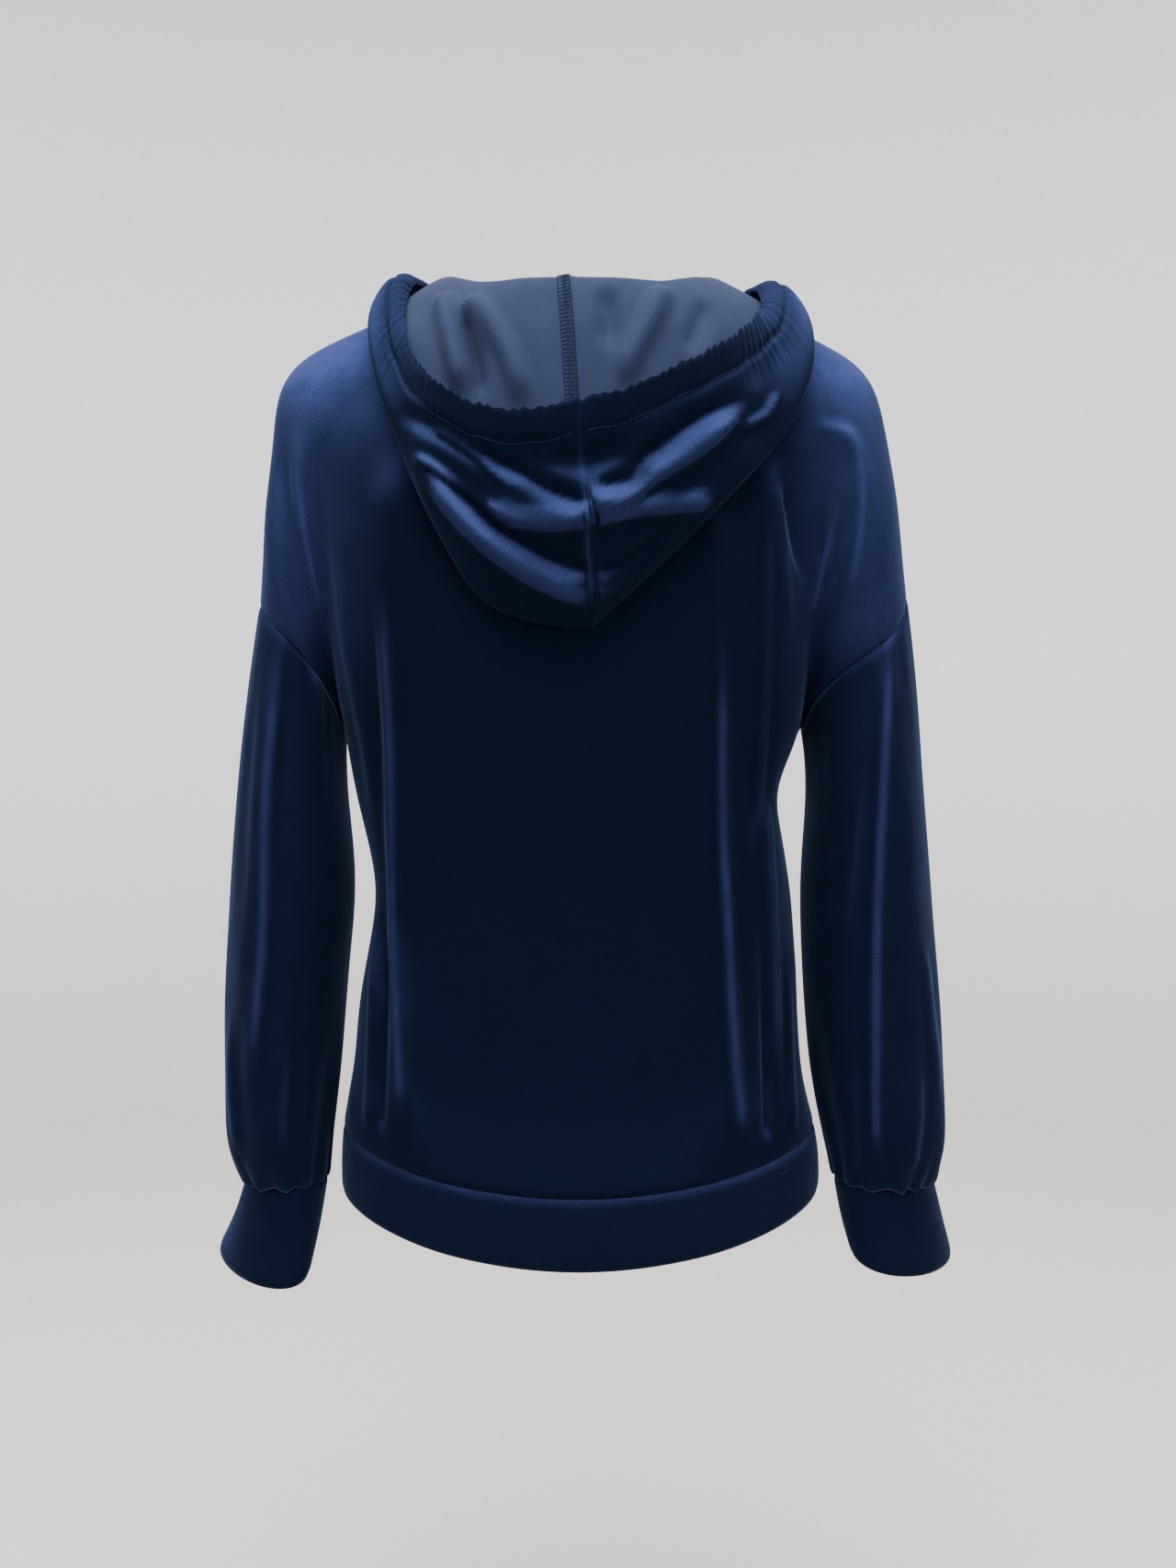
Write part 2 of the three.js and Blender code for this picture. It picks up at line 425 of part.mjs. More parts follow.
function sleeveFold(s, turn) {
  let height = 0;
  for (const fold of SLEEVE_FOLDS) {
    const share = Math.min(Math.max((s - fold.from) / (fold.to - fold.from), 0), 1);
    const across = Math.exp(-(((turn - fold.turn) / fold.width) ** 2));
    height += fold.height * Math.sin(Math.PI * share) * across;
  }
  const gather = Math.max(0, (s - GATHER_START) / (1 - GATHER_START));
  const swell = Math.sin(Math.PI * gather) * GATHER_HEIGHT;
  return height + swell * Math.cos(2 * Math.PI * CUFF_GATHERS * turn);
}

function sleevePoint(side, s, turn) {
  const point = tubePoint(side.sleeve, side, s, turn);
  const angle = 2 * Math.PI * turn;
  const push = sleeveFold(s, turn);
  point.x -= side.sign * push * Math.cos(angle);
  point.y += push * Math.sin(angle);
  const left = Math.max(0, 1 - s / SLEEVE_BLEND);
  const keep = left * left * (3 - 2 * left);
  const off = armholePoint(side, turn).sub(tubePoint(side.sleeve, side, 0, turn));
  return point.addScaledVector(off, keep);
}

// A panel is a set of four-sided cells in its outer points, with shared corners
class Panel {
  constructor(name, wall, seamGap = SEAM_GAP) {
    this.name = name;
    this.wall = wall;
    this.seamGap = seamGap;
    this.cellWeight = null;
    this.points = [];
    this.walls = [];
    this.cells = [];
    this.places = new Map();
    this.between = new Map();
  }

  corner(point, wall) {
    const key = keyOf(point);
    if (!this.places.has(key)) {
      this.places.set(key, this.points.length);
      this.points.push(point);
      this.walls.push(wall);
    }
    return this.places.get(key);
  }

  // Rows of points, wound so that the cloth's right side faces out. Rows from thickFrom on
  // are of doubled cloth.
  addGrid(rows, flip, thickFrom = rows.length) {
    for (let i = 0; i + 1 < rows.length; i += 1) {
      const walls = [i, i + 1].map((row) => (row >= thickFrom ? CASING_WALL : this.wall));
      for (let j = 0; j + 1 < rows[i].length; j += 1) {
        const corners = [
          this.corner(rows[i][j], walls[0]),
          this.corner(rows[i + 1][j], walls[1]),
          this.corner(rows[i + 1][j + 1], walls[1]),
          this.corner(rows[i][j + 1], walls[0]),
        ];
        this.cells.push(flip ? corners.reverse() : corners);
      }
    }
  }
}

function keyOf(point) {
  return point.toArray().map((value) => Math.round(value * STEPS_PER_MM)).join(",");
}

function cellNormal(points, cell) {
  const acrossA = new THREE.Vector3().subVectors(points[cell[2]], points[cell[0]]);
  const acrossB = new THREE.Vector3().subVectors(points[cell[3]], points[cell[1]]);
  return acrossA.cross(acrossB);
}

// One direction out of the cloth for each point, shared by all panels that meet there. A point
// halfway along a neighbour's edge takes the mean of that edge's ends.
function sharedNormals(panels) {
  const normals = new Map();
  for (const panel of panels) {
    for (const cell of panel.cells) {
      const normal = cellNormal(panel.points, cell);
      if (panel.cellWeight) normal.setLength(panel.cellWeight);
      for (const index of cell) {
        const key = keyOf(panel.points[index]);
        if (!normals.has(key)) normals.set(key, new THREE.Vector3());
        normals.get(key).add(normal);
      }
    }
  }
  for (const normal of normals.values()) normal.normalize();
  for (const panel of panels) {
    for (const [key, [before, after]] of panel.between) {
      normals.get(key).copy(normals.get(before)).lerp(normals.get(after), 0.5);
    }
  }
  return normals;
}

function edgeList(panel) {
  const seen = new Map();
  for (const cell of panel.cells) {
    cell.forEach((from, corner) => {
      const to = cell[(corner + 1) % cell.length];
      seen.set(from + "_" + to, { from, to, cell });
    });
  }
  return [...seen.values()].filter((edge) => !seen.has(edge.to + "_" + edge.from));
}

// Moves the open edges back into the cloth by half the seam gap
function pullBack(panel, edges) {
  const pulls = new Map();
  for (const edge of edges) {
    const from = panel.points[edge.from];
    const along = new THREE.Vector3().subVectors(panel.points[edge.to], from).normalize();
    const middle = new THREE.Vector3();
    for (const index of edge.cell) middle.addScaledVector(panel.points[index], 1 / edge.cell.length);
    const inward = middle.sub(from);
    inward.addScaledVector(along, -inward.dot(along)).normalize();
    for (const index of [edge.from, edge.to]) {
      if (!pulls.has(index)) pulls.set(index, []);
      pulls.get(index).push(inward);
    }
  }
  const moved = panel.points.map((point) => point.clone());
  for (const [index, [first, second]] of pulls) {
    const both = first.clone().add(second);
    const corner = Math.max(1 + first.dot(second), SHARPEST_CORNER);
    moved[index].addScaledVector(both, panel.seamGap / 2 / corner);
  }
  return moved;
}

// A closed wall: the outer cells, the same cells moved in, and a strip along each open edge
function wallGeometry(panel, normals) {
  const edges = edgeList(panel);
  const outer = pullBack(panel, edges);
  const count = outer.length;
  const inner = outer.map((point, index) => {
    const normal = normals.get(keyOf(panel.points[index]));
    return point.clone().addScaledVector(normal, -panel.walls[index]);
  });
  const triangles = [];
  for (const [a, b, c, d] of panel.cells) {
    triangles.push(a, b, c, a, c, d);
    triangles.push(a + count, c + count, b + count, a + count, d + count, c + count);
  }
  for (const { from, to } of edges) {
    triangles.push(from, from + count, to + count, from, to + count, to);
  }
  const geometry = new THREE.BufferGeometry().setFromPoints([...outer, ...inner]);
  geometry.setIndex(triangles);
  geometry.computeVertexNormals();
  return geometry;
}

// Panels
function shares(cells) {
  return Array.from({ length: cells + 1 }, (unused, index) => index / cells);
}

const YOKE_COLUMNS = [...BODY_COLUMNS, ...shares(ARM_CELLS).slice(1).map((share) => 1 + share)];
const UPWARD_SHARES = [
  ...shares(OUTER_ROWS).slice(1, -1).map((share) => share * CASING_SHARE), CASING_SHARE, 1];

function bodyPanel(name) {
  const face = FACES[name];
  const panel = new Panel(name, CLOTH_WALL);
  for (const side of Object.values(SIDES)) {
    const turned = side.sign * face.sign > 0;
    const yoke = shares(YOKE_ROWS).map((v) => YOKE_COLUMNS.map((t) => yokePoint(face, side, v, t)));
    const seamZ = TORSO[TORSO.length - 1].z;
    const torso = shares(TORSO_ROWS).map((share) => BODY_COLUMNS.map(
      (t) => ringPoint(TORSO, face, side, THREE.MathUtils.lerp(ARMPIT_Z, seamZ, share), t)));
    torso[0] = yoke[YOKE_ROWS].slice(0, BODY_COLUMNS.length);
    panel.addGrid(yoke, turned);
    panel.addGrid(torso, turned);
  }
  return panel;
}

function bandPanel() {
  const panel = new Panel("hem_band", DOUBLE_WALL);
  for (const face of Object.values(FACES)) {
    for (const side of Object.values(SIDES)) {
      const lastZ = BAND[BAND.length - 1].z;
      const rows = shares(BAND_ROWS).map((share) => BODY_COLUMNS.map(
        (t) => ringPoint(BAND, face, side, THREE.MathUtils.lerp(BAND[0].z, lastZ, share), t)));
      panel.addGrid(rows, side.sign * face.sign > 0);
    }
  }
  return panel;
}

function closedRing(pointAt) {
  const ring = shares(SLEEVE_COLUMNS).slice(0, -1).map(pointAt);
  return [...ring, ring[0]];
}

function sleevePanel(name, side) {
  const panel = new Panel(name, CLOTH_WALL, ARMHOLE_GAP);
  const rows = shares(SLEEVE_ROWS).map((s) => closedRing((turn) => sleevePoint(side, s, turn)));
  for (let j = 1; j < SLEEVE_COLUMNS; j += 2) {
    panel.between.set(keyOf(rows[0][j]), [keyOf(rows[0][j - 1]), keyOf(rows[0][j + 1])]);
  }
  panel.addGrid(rows, side.sign > 0);
  return panel;
}

function cuffPanel(name, side) {
  const panel = new Panel(name, DOUBLE_WALL);
  const rows = shares(CUFF_ROWS).map((s) => closedRing((turn) => tubePoint(side.cuff, side, s, turn)));
  panel.addGrid(rows, side.sign > 0);
  return panel;
}

// Hood: one column of points from the neck seam over the roll and the fold to the rim
function hoodColumn(side, a, seam) {
  const row = { ...rowAt(side.hood, "a", a), ...rowAt(HOOD_ROLL, "a", a) };
  const place = (x, y, z) => new THREE.Vector3(side.sign * x, y, z);
  const fold = place(row.foldX, row.foldY, row.foldZ);
  const rim = place(row.rimX, row.rimY, row.rimZ);
  const out = new THREE.Vector3(fold.x - seam.x, fold.y - seam.y, 0).normalize();
  const from = (point, outBy, upBy) => {
    const moved = point.clone().addScaledVector(out, outBy);
    moved.z += upBy;
    return moved;
  };
  const roll = from(seam, row.out, row.up);
  roll.x += side.sign * row.rollX;
  const inner = Math.hypot(fold.x - roll.x, fold.y - roll.y);
  const height = rim.distanceTo(fold);
  const bag = Math.min(height * BAG_HANDLE, BAG_HANDLE_MAX);
  const stand = shares(STAND_ROWS).map((u) => bezier(
    seam, from(seam, 0, row.up / 2), from(roll, -row.out * STAND_HANDLE, 0), roll, u));
  const down = shares(INNER_ROWS).slice(1).map((u) => bezier(
    roll, from(roll, inner * row.level, 0), from(fold, -inner * FOLD_HANDLE, 0), fold, u));
  const upward = UPWARD_SHARES.map((u) => {
    const point = bezier(
      fold, from(fold, bag, 0), from(rim, row.bulge, height * row.lift), rim, u);
    const swell = Math.sin(Math.PI * Math.min(u / CASING_SHARE, 1));
    return point.y > 0 ? from(point, foldHeight(HOOD_FOLDS, point.x, point.z) * swell, 0) : point;
  });
  return [...stand, ...down, ...upward];
}

function hoodPanel(name, side) {
  const panel = new Panel(name, CLOTH_WALL, HOOD_GAP);
  panel.cellWeight = HOOD_CELL_WEIGHT;
  const back = YOKE_COLUMNS.map((t) => yokePoint(FACES.back, side, 0, t));
  const front = YOKE_COLUMNS.map((t) => yokePoint(FACES.front, side, 0, t)).reverse();
  const seam = [...back, ...front.slice(1)];
  const columns = seam.map((point, index) => hoodColumn(side, index / (seam.length - 1), point));
  const casingRow = columns[0].length - 2;
  columns.forEach((column, index) => {
    const pucker = PUCKER_HEIGHT * Math.sin(index * PUCKER_STEP + side.sign);
    column[casingRow].z += pucker / 2;
    column[casingRow + 1].z += pucker;
  });
  const rows = columns[0].map((unused, row) => columns.map((column) => column[row]));
  panel.addGrid(rows, side.sign < 0, casingRow);
  return panel;
}

const velvet = new THREE.MeshStandardMaterial({
  color: NAVY, roughness: VELVET_ROUGHNESS, metalness: 0, side: THREE.DoubleSide,
});

const panels = [
  bodyPanel("front"),
  bodyPanel("back"),
  sleevePanel("sleeve_left", SIDES.left),
  sleevePanel("sleeve_right", SIDES.right),
  cuffPanel("cuff_left", SIDES.left),
  cuffPanel("cuff_right", SIDES.right),
  bandPanel(),
  hoodPanel("hood_left", SIDES.left),
  hoodPanel("hood_right", SIDES.right),
];

const normals = sharedNormals(panels);
const hoodie = new THREE.Group();
for (const panel of panels) {
  const mesh = new THREE.Mesh(wallGeometry(panel, normals), velvet);
  mesh.name = panel.name;
  hoodie.add(mesh);
}

export default hoodie;
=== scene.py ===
import math
from collections import namedtuple

import bmesh
import bpy
import numpy as np
from bpy.props import FloatProperty, FloatVectorProperty, IntProperty, PointerProperty
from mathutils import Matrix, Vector
from mathutils.kdtree import KDTree


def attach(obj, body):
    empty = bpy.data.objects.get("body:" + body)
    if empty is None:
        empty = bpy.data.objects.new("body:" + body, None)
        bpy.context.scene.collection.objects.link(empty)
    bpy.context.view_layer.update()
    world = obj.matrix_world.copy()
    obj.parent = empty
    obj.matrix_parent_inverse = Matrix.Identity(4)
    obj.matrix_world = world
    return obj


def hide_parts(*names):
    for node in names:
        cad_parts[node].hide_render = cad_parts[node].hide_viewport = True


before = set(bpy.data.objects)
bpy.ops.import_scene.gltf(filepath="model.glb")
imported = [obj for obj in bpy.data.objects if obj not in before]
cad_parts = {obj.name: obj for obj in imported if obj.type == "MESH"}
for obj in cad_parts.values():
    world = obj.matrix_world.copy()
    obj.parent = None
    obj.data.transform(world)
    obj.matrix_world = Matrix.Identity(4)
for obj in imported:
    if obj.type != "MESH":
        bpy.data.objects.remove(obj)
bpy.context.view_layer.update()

bl_info = {
    "name": "Velvet Hoodie",
    "version": (1, 0, 0),
    "blender": (4, 5, 0),
    "location": "3D Viewport > Sidebar > Hoodie",
    "description": "Dresses the panels of a velvet pullover hoodie with pile, folds, gathers and sewing",
    "category": "Mesh",
}

MM = 0.001

# Walls of the solids, in metres, and how exactly they are kept
SOLID_WALLS = (1.6 * MM, 2.4 * MM, 3.0 * MM)
WALL_SLACK = 0.0008 * MM
SHORTEST_CELL = 1.65 * MM
MERGE_DISTANCE = 0.01 * MM

# Places to the back and front of a piece, from which its right side is found
BACKWARD = 1
FORWARD = -1

# A fold is a smooth line through its points (x, z) on the face of the garment, in millimetres.
# Width is half across the fold, a height below nothing is a trough, the start and end say over
# what share of its length it fades in and out, and under is the half width of its lower side.
Fold = namedtuple("Fold", "line width height start end under", defaults=(None,))

BACK_FOLDS = [
    Fold([(114, -175), (116, -216), (114, -326), (114, -421), (109, -500), (105, -554)],
         7.0, 3.2, 0.25, 0.1),
    Fold([(124, -200), (124, -300), (123, -410), (118, -520)], 6.0, -2.2, 0.3, 0.3),
    Fold([(155, -150), (148, -192), (142, -255), (130, -330), (119, -398)], 6.0, 2.4, 0.25, 0.4),
    Fold([(176, -112), (172, -156), (166, -204), (158, -248)], 6.5, 3.2, 0.3, 0.25),
    Fold([(186, -118), (183, -156), (177, -204), (170, -242)], 5.5, -2.0, 0.3, 0.3),
    Fold([(-85, -192), (-85, -342), (-89, -421), (-93, -500), (-99, -560)], 7.0, 3.4, 0.3, 0.08),
    Fold([(-76, -230), (-77, -342), (-80, -450), (-86, -540)], 6.5, -1.8, 0.35, 0.3),
    Fold([(-114, -150), (-113, -247), (-111, -338), (-107, -382), (-99, -441)],
         4.5, 2.6, 0.2, 0.35),
    Fold([(-115, -338), (-119, -421), (-121, -480), (-121, -545)], 5.0, 3.0, 0.12, 0.3),
    Fold([(-104, -400), (-107, -470), (-108, -556)], 5.0, 2.2, 0.4, 0.1),
    Fold([(-131, -440), (-132, -500), (-133, -556)], 4.0, 2.0, 0.4, 0.1),
    Fold([(-113, -455), (-114, -500), (-114, -556)], 4.0, -1.8, 0.4, 0.1),
    Fold([(-139, -121), (-156, -119), (-170, -126), (-175, -156), (-170, -205), (-160, -245)],
         7.0, 3.0, 0.2, 0.3),
    Fold([(-124, -150), (-128, -168), (-133, -190), (-141, -216)], 5.5, -3.4, 0.25, 0.3),
    Fold([(-158, -160), (-155, -185), (-148, -215), (-140, -247)], 5.5, 3.2, 0.3, 0.3),
    Fold([(-166, -150), (-165, -185), (-156, -222)], 5.0, -2.2, 0.3, 0.3),
    Fold([(-117, -138), (-120, -170), (-124, -215), (-132, -262)], 5.5, 2.2, 0.3, 0.4),
    Fold([(128, -420), (129, -480), (130, -554)], 4.5, 2.4, 0.4, 0.1),
    Fold([(119, -420), (120, -480), (121, -554)], 4.0, -2.0, 0.4, 0.1),
    Fold([(143, -455), (145, -500), (147, -554)], 4.0, 1.8, 0.4, 0.1),
    Fold([(40, -300), (46, -400), (52, -520)], 16.0, 1.2, 0.4, 0.4),
    Fold([(-30, -340), (-38, -430), (-46, -530)], 16.0, 1.0, 0.4, 0.4),
]
FRONT_FOLDS = [
    Fold([(92, -190), (96, -300), (94, -420), (90, -548)], 7.0, 3.2, 0.3, 0.12),
    Fold([(103, -230), (105, -330), (103, -470)], 6.0, -2.0, 0.3, 0.3),
    Fold([(-98, -180), (-95, -300), (-96, -420), (-100, -548)], 7.0, 3.0, 0.3, 0.12),
    Fold([(-87, -240), (-85, -340), (-88, -480)], 6.5, -1.8, 0.3, 0.3),
    Fold([(-118, -330), (-120, -430), (-122, -545)], 5.5, 2.6, 0.3, 0.15),
    Fold([(122, -300), (122, -420), (126, -545)], 5.5, 2.4, 0.3, 0.15),
    Fold([(176, -112), (178, -160), (168, -215), (158, -250)], 6.5, 3.0, 0.3, 0.3),
    Fold([(-176, -112), (-180, -160), (-168, -215), (-158, -245)], 6.5, 3.0, 0.3, 0.3),
    Fold([(150, -150), (142, -200), (140, -256)], 6.0, -2.6, 0.3, 0.3),
    Fold([(-146, -140), (-140, -190), (-138, -250)], 6.0, -2.6, 0.3, 0.3),
    Fold([(136, -450), (138, -500), (139, -546)], 4.5, 2.0, 0.4, 0.1),
    Fold([(-134, -440), (-136, -500), (-138, -546)], 4.5, 2.2, 0.4, 0.1),
    Fold([(20, -180), (26, -290), (30, -420), (30, -530)], 18.0, 1.6, 0.4, 0.4),
    Fold([(-34, -200), (-40, -320), (-42, -460)], 18.0, 1.4, 0.4, 0.4),
]
LEFT_SLEEVE_FOLDS = {
    BACKWARD: [
        Fold([(185, -236), (192, -342), (193, -425), (198, -490), (204, -556)],
             7.0, 3.2, 0.2, 0.25),
        Fold([(203, -260), (208, -360), (210, -460)], 7.0, -2.0, 0.3, 0.4),
        Fold([(168, -262), (163, -290), (153, -330)], 5.5, 2.6, 0.3, 0.4),
        Fold([(178, -480), (182, -530), (184, -572)], 5.5, 2.6, 0.4, 0.2),
        Fold([(216, -470), (217, -520), (212, -574)], 5.0, 2.2, 0.4, 0.2),
    ],
    FORWARD: [
        Fold([(188, -250), (194, -350), (192, -450), (196, -560)], 7.0, 3.0, 0.2, 0.2),
        Fold([(170, -300), (172, -380), (176, -470)], 6.5, -2.4, 0.3, 0.3),
        Fold([(210, -420), (212, -500), (208, -570)], 6.0, 2.4, 0.3, 0.2),
    ],
}
RIGHT_SLEEVE_FOLDS = {
    BACKWARD: [
        Fold([(-195, -228), (-187, -342), (-183, -425), (-183, -525), (-187, -582)],
             6.5, 3.4, 0.15, 0.1),
        Fold([(-198, -340), (-194, -430), (-194, -520), (-197, -566)], 6.0, -2.2, 0.3, 0.2),
        Fold([(-176, -330), (-170, -400), (-162, -458)], 6.0, 2.6, 0.3, 0.4),
        Fold([(-212, -430), (-217, -473), (-222, -510), (-224, -540)], 5.0, 3.0, 0.3, 0.3),
        Fold([(-168, -500), (-172, -540), (-176, -582)], 4.5, 2.4, 0.4, 0.1),
        Fold([(-207, -500), (-209, -540), (-206, -580)], 4.5, 2.6, 0.4, 0.15),
    ],
    FORWARD: [
        Fold([(-192, -240), (-190, -350), (-194, -450), (-198, -560)], 7.0, 3.0, 0.2, 0.2),
        Fold([(-214, -360), (-218, -440), (-220, -520)], 6.5, -2.2, 0.3, 0.3),
        Fold([(-172, -420), (-172, -500), (-178, -570)], 6.0, 2.6, 0.3, 0.2),
    ],
}

# Swags on the outside of the hood's bag. Their upper sides are broad and catch the light. Inner
# folds show on the knit side in its mouth.
HOOD_SWAGS = [
    Fold([(62, -146), (33, -153), (6, -155), (-20, -151), (-46, -139)], 12.0, -5.0, 0.3, 0.3),
    Fold([(109, -113), (83, -132), (57, -150), (33, -163), (9, -175), (-8, -182)],
         7.0, -5.5, 0.25, 0.08),
    Fold([(54, -170), (42, -186), (26, -190), (9, -190), (-10, -189)], 13.0, 8.0, 0.3, 0.06, 4.5),
    Fold([(-8, -189), (-32, -183), (-53, -179), (-74, -175), (-94, -167)],
         8.5, 6.0, 0.06, 0.35, 4.0),
    Fold([(-6, -182), (-26, -176), (-43, -164), (-69, -145), (-101, -115)],
         9.0, 6.5, 0.05, 0.25, 4.5),
    Fold([(-8, -172), (-31, -165), (-39, -153), (-69, -129), (-103, -107)], 6.0, -4.5, 0.1, 0.3),
    Fold([(90, -156), (73, -180), (56, -199), (33, -216), (9, -228), (-10, -234)],
         9.0, 6.5, 0.2, 0.08, 4.5),
    Fold([(78, -158), (56, -184), (33, -200), (9, -211), (-10, -217)], 6.5, -4.0, 0.25, 0.12),
    Fold([(99, -146), (78, -160), (57, -177), (42, -188)], 4.5, 3.2, 0.2, 0.2, 2.5),
    Fold([(90, -128), (61, -150), (43, -167), (37, -177)], 5.0, 3.0, 0.2, 0.25, 2.5),
    Fold([(-9, -230), (-26, -223), (-43, -213), (-60, -199)], 8.0, 5.5, 0.06, 0.35, 4.0),
    Fold([(-10, -218), (-26, -211), (-39, -203), (-53, -190)], 6.0, -4.0, 0.1, 0.35),
    Fold([(-88, -134), (-110, -120), (-121, -102)], 4.5, 3.0, 0.3, 0.3, 2.5),
]
HOOD_INNER_FOLDS = [
    Fold([(84, -34), (78, -61), (72, -89), (68, -106)], 6.5, -8.5, 0.15, 0.2),
    Fold([(72, -46), (66, -68), (60, -92), (56, -108)], 6.0, 8.0, 0.2, 0.2),
    Fold([(68, -40), (47, -72), (36, -98), (32, -112)], 7.0, -7.5, 0.15, 0.2),
    Fold([(-53, -34), (-44, -56), (-32, -80), (-24, -100)], 8.0, -7.0, 0.15, 0.2),
    Fold([(-16, -36), (-18, -56), (-16, -78)], 9.0, 4.5, 0.25, 0.3),
    Fold([(-78, -40), (-72, -60), (-62, -80)], 8.0, 3.5, 0.25, 0.3),
]

# Steps of a fold's line in millimetres, how far out it is worked out in widths, the depth of the
# troughs on its sides, and the facing of the cloth from which it fades in
FOLD_STEP = 2.0
FOLD_REACH = 3
SIDE_TROUGH = 0.55
FACING = (0.15, 0.5)
HOOD_FACING = (-0.2, 0.2)

# Waves of gathers drift and swell: by how much, how fast and from what phase
WAVE_DRIFT = (0.9, 0.37, 1.0)
WAVE_SWELL = (0.28, 0.23, 2.0)
WAVE_MEAN = 0.72

# Rows of the hood's grid, counted from the neck up the knit side, over the rim and down the bag:
# the last ones of the seam allowance and the inner folds, the first ones of the swags and the
# casing, and over how many rows each fades
ALLOWANCE_END = 7.5
INNER_FOLD_END = 8.0
SWAG_START = 8.5
CASING_START = 9.0
ROW_FADE = 1.5

# Where the hood's inner folds begin, and what counts as its centre seam and its neck seam
INNER_FOLD_Y = 50 * MM
INNER_FOLD_FADE = 20 * MM
CENTRE_REACH = 12 * MM
CENTRE_SEAM_X = 2 * MM
NECK_SEAM_Z = -0.1
ALLOWANCE_Y = 60 * MM

# Seams sink into the cloth along the edges of each panel
SEAM_DIP = 0.8 * MM
SEAM_DIP_WIDTH = 2.2 * MM
SEAM_OVERLAP = 0.4 * MM

# The gathers of a sleeve into its cuff
CUFF_GATHER_REACH = 62 * MM
CUFF_GATHER_COUNT = 15
CUFF_GATHER_HEIGHT = 1.9 * MM
CUFF_GATHER_SHARE = 0.75
CUFF_GATHER_VARIES = 0.25
CUFF_GATHER_WAVES = 5
CUFF_GATHER_FADE = 1.5
CUFF_RING = 2 * MM

# The casing along the face edge of the hood, gathered on its stitch line
CASING_DEPTH = 19 * MM
CASING_DIP = 1.5 * MM
CASING_DIP_WIDTH = 2.2 * MM
CASING_PUCKER_STEP = 7.4 * MM
CASING_PUCKER_HEIGHT = 0.7 * MM
CASING_PUCKER_REACH = 13 * MM
CASING_SMALL_STEP = 0.61
CASING_SMALL_SHARE = 0.4
CASING_PATCHES = (17 * MM, 41 * MM)
CASING_PATCH_MEAN = 0.5
CASING_PATCH_DEPTH = 0.45
RIM_WAVE_HEIGHT = 1.1 * MM
RIM_WAVE_REACH = 6 * MM

# Painted light in the pile's colour, from 0 to 1: a base everywhere, painted sheen on sleeves and bands,
# painted top light on cloth that faces up, painted highlights on crests and painted light on drop
# shoulders
PAINTED_LIGHT_BASE = 0.015
PAINTED_SHEEN_LIFT = 0.045
PAINTED_TOP_LIGHT = 0.95
PAINTED_CREST_HIGHLIGHT = 0.26
PAINTED_SHOULDER_LIGHT = 0.24

# From and to which upward part of the normal the painted top light fades in, and the height and
# narrowness of a crest with a full painted highlight
TOP_LIGHT_START = 0.10
TOP_LIGHT_FULL = 0.75
CREST = 3.2 * MM
CREST_NARROWNESS = 5

# Where the painted shoulder light begins, the painted shade on the hood's rim and the painted highlight
# on its centre seam
SHOULDER_LIGHT_X = 110 * MM
SHOULDER_LIGHT_FADE = 70 * MM
ARMPIT_Z = -303 * MM
RIM_LIGHT_SHARE = 0.30
RIM_FADE = 22 * MM
SEAM_HIGHLIGHT_WIDTH = 1.6 * MM

# Noise of the materials: scale, detail, roughness and distortion
BRUSHED_NOISE = (38.0, 4.0, 0.6, 0.5)
CRUSHED_NOISE = (110.0, 3.0, 0.5, 0.4)
PILE_NOISE = (900.0, 2.0, 0.6)
WORN_NOISE = (30.0, 3.0)
LOOP_NOISE = (1300.0, 1.0)
TWIST_NOISE = (2200.0, 1.0)
NOISE_LOW = 0.3
NOISE_HIGH = 0.7

# How far noise changes the painted light and the roughness, and bumps as a distance and a strength
BRUSHED_LIGHT_RANGE = (0.8, 1.2)
PILE_LIGHT_RANGE = (0.72, 1.28)
PILE_ROUGHNESS = (0.8, 1.0)
KNIT_ROUGHNESS = (0.72, 0.9)
CRUSHED_BUMP = (1.2 * MM, 0.10)
PILE_BUMP = (0.35 * MM, 0.5)
KNIT_BUMP = (0.2 * MM, 0.5)
KNIT_SHADE = 0.78
THREAD_SHADE = 0.6

# Thread of the sewing. The overlock runs from one row of the hood's grid to another.
THREAD_RADIUS = 0.26 * MM
THREAD_SIDES = 5
THREAD_ASIDE = (0.13, 0.21, 0.97)
OVERLOCK_STEP = 1.3 * MM
OVERLOCK_WIDTH = 7.5 * MM
OVERLOCK_LIFT = 0.8 * MM
OVERLOCK_ROWS = (0.5, 6.5)
STITCH_LENGTH = 2.4 * MM
STITCH_GAP = 0.9 * MM
STITCH_MARGIN = 6 * MM
STITCH_POINTS = 4
THREAD_END = (-123 * MM, -569 * MM)
THREAD_CURL = [(0, 0, 0), (2.2, 0.8, -0.6), (3.2, 1.4, -2.8), (2.4, 1.2, -5.2), (0.6, 0.9, -6.6),
               (-1.0, 0.6, -6.4)]
THREAD_CURL_STEP = 0.4

# The camera stands behind the garment, level, a little below its middle
CAMERA_PLACE = (-5.5 * MM, 950 * MM, -337.6 * MM)
CAMERA_LENS = 32.9
CAMERA_SENSOR = 36.0

# Studio
FLOOR_Z = -1.05
SWEEP_RADIUS = 3.2
SWEEP_CORNER = 0.9
SWEEP_HEIGHT = 3.0
SWEEP_SIDES = 96
SWEEP_STEPS = 12
SWEEP_INSET = 0.01
SKY_COLOR = (0.9, 0.93, 1.0, 1.0)
SKY_STRENGTH = 0.95

# Lamps: place, the point each is turned to, and size
TOP_LAMP = ((0.1, 0.55, 1.55), (0, 0, -0.3), 2.2)
FILL_LAMP = ((-0.5, 2.3, 0.2), (0, 0, -0.35), 2.0)


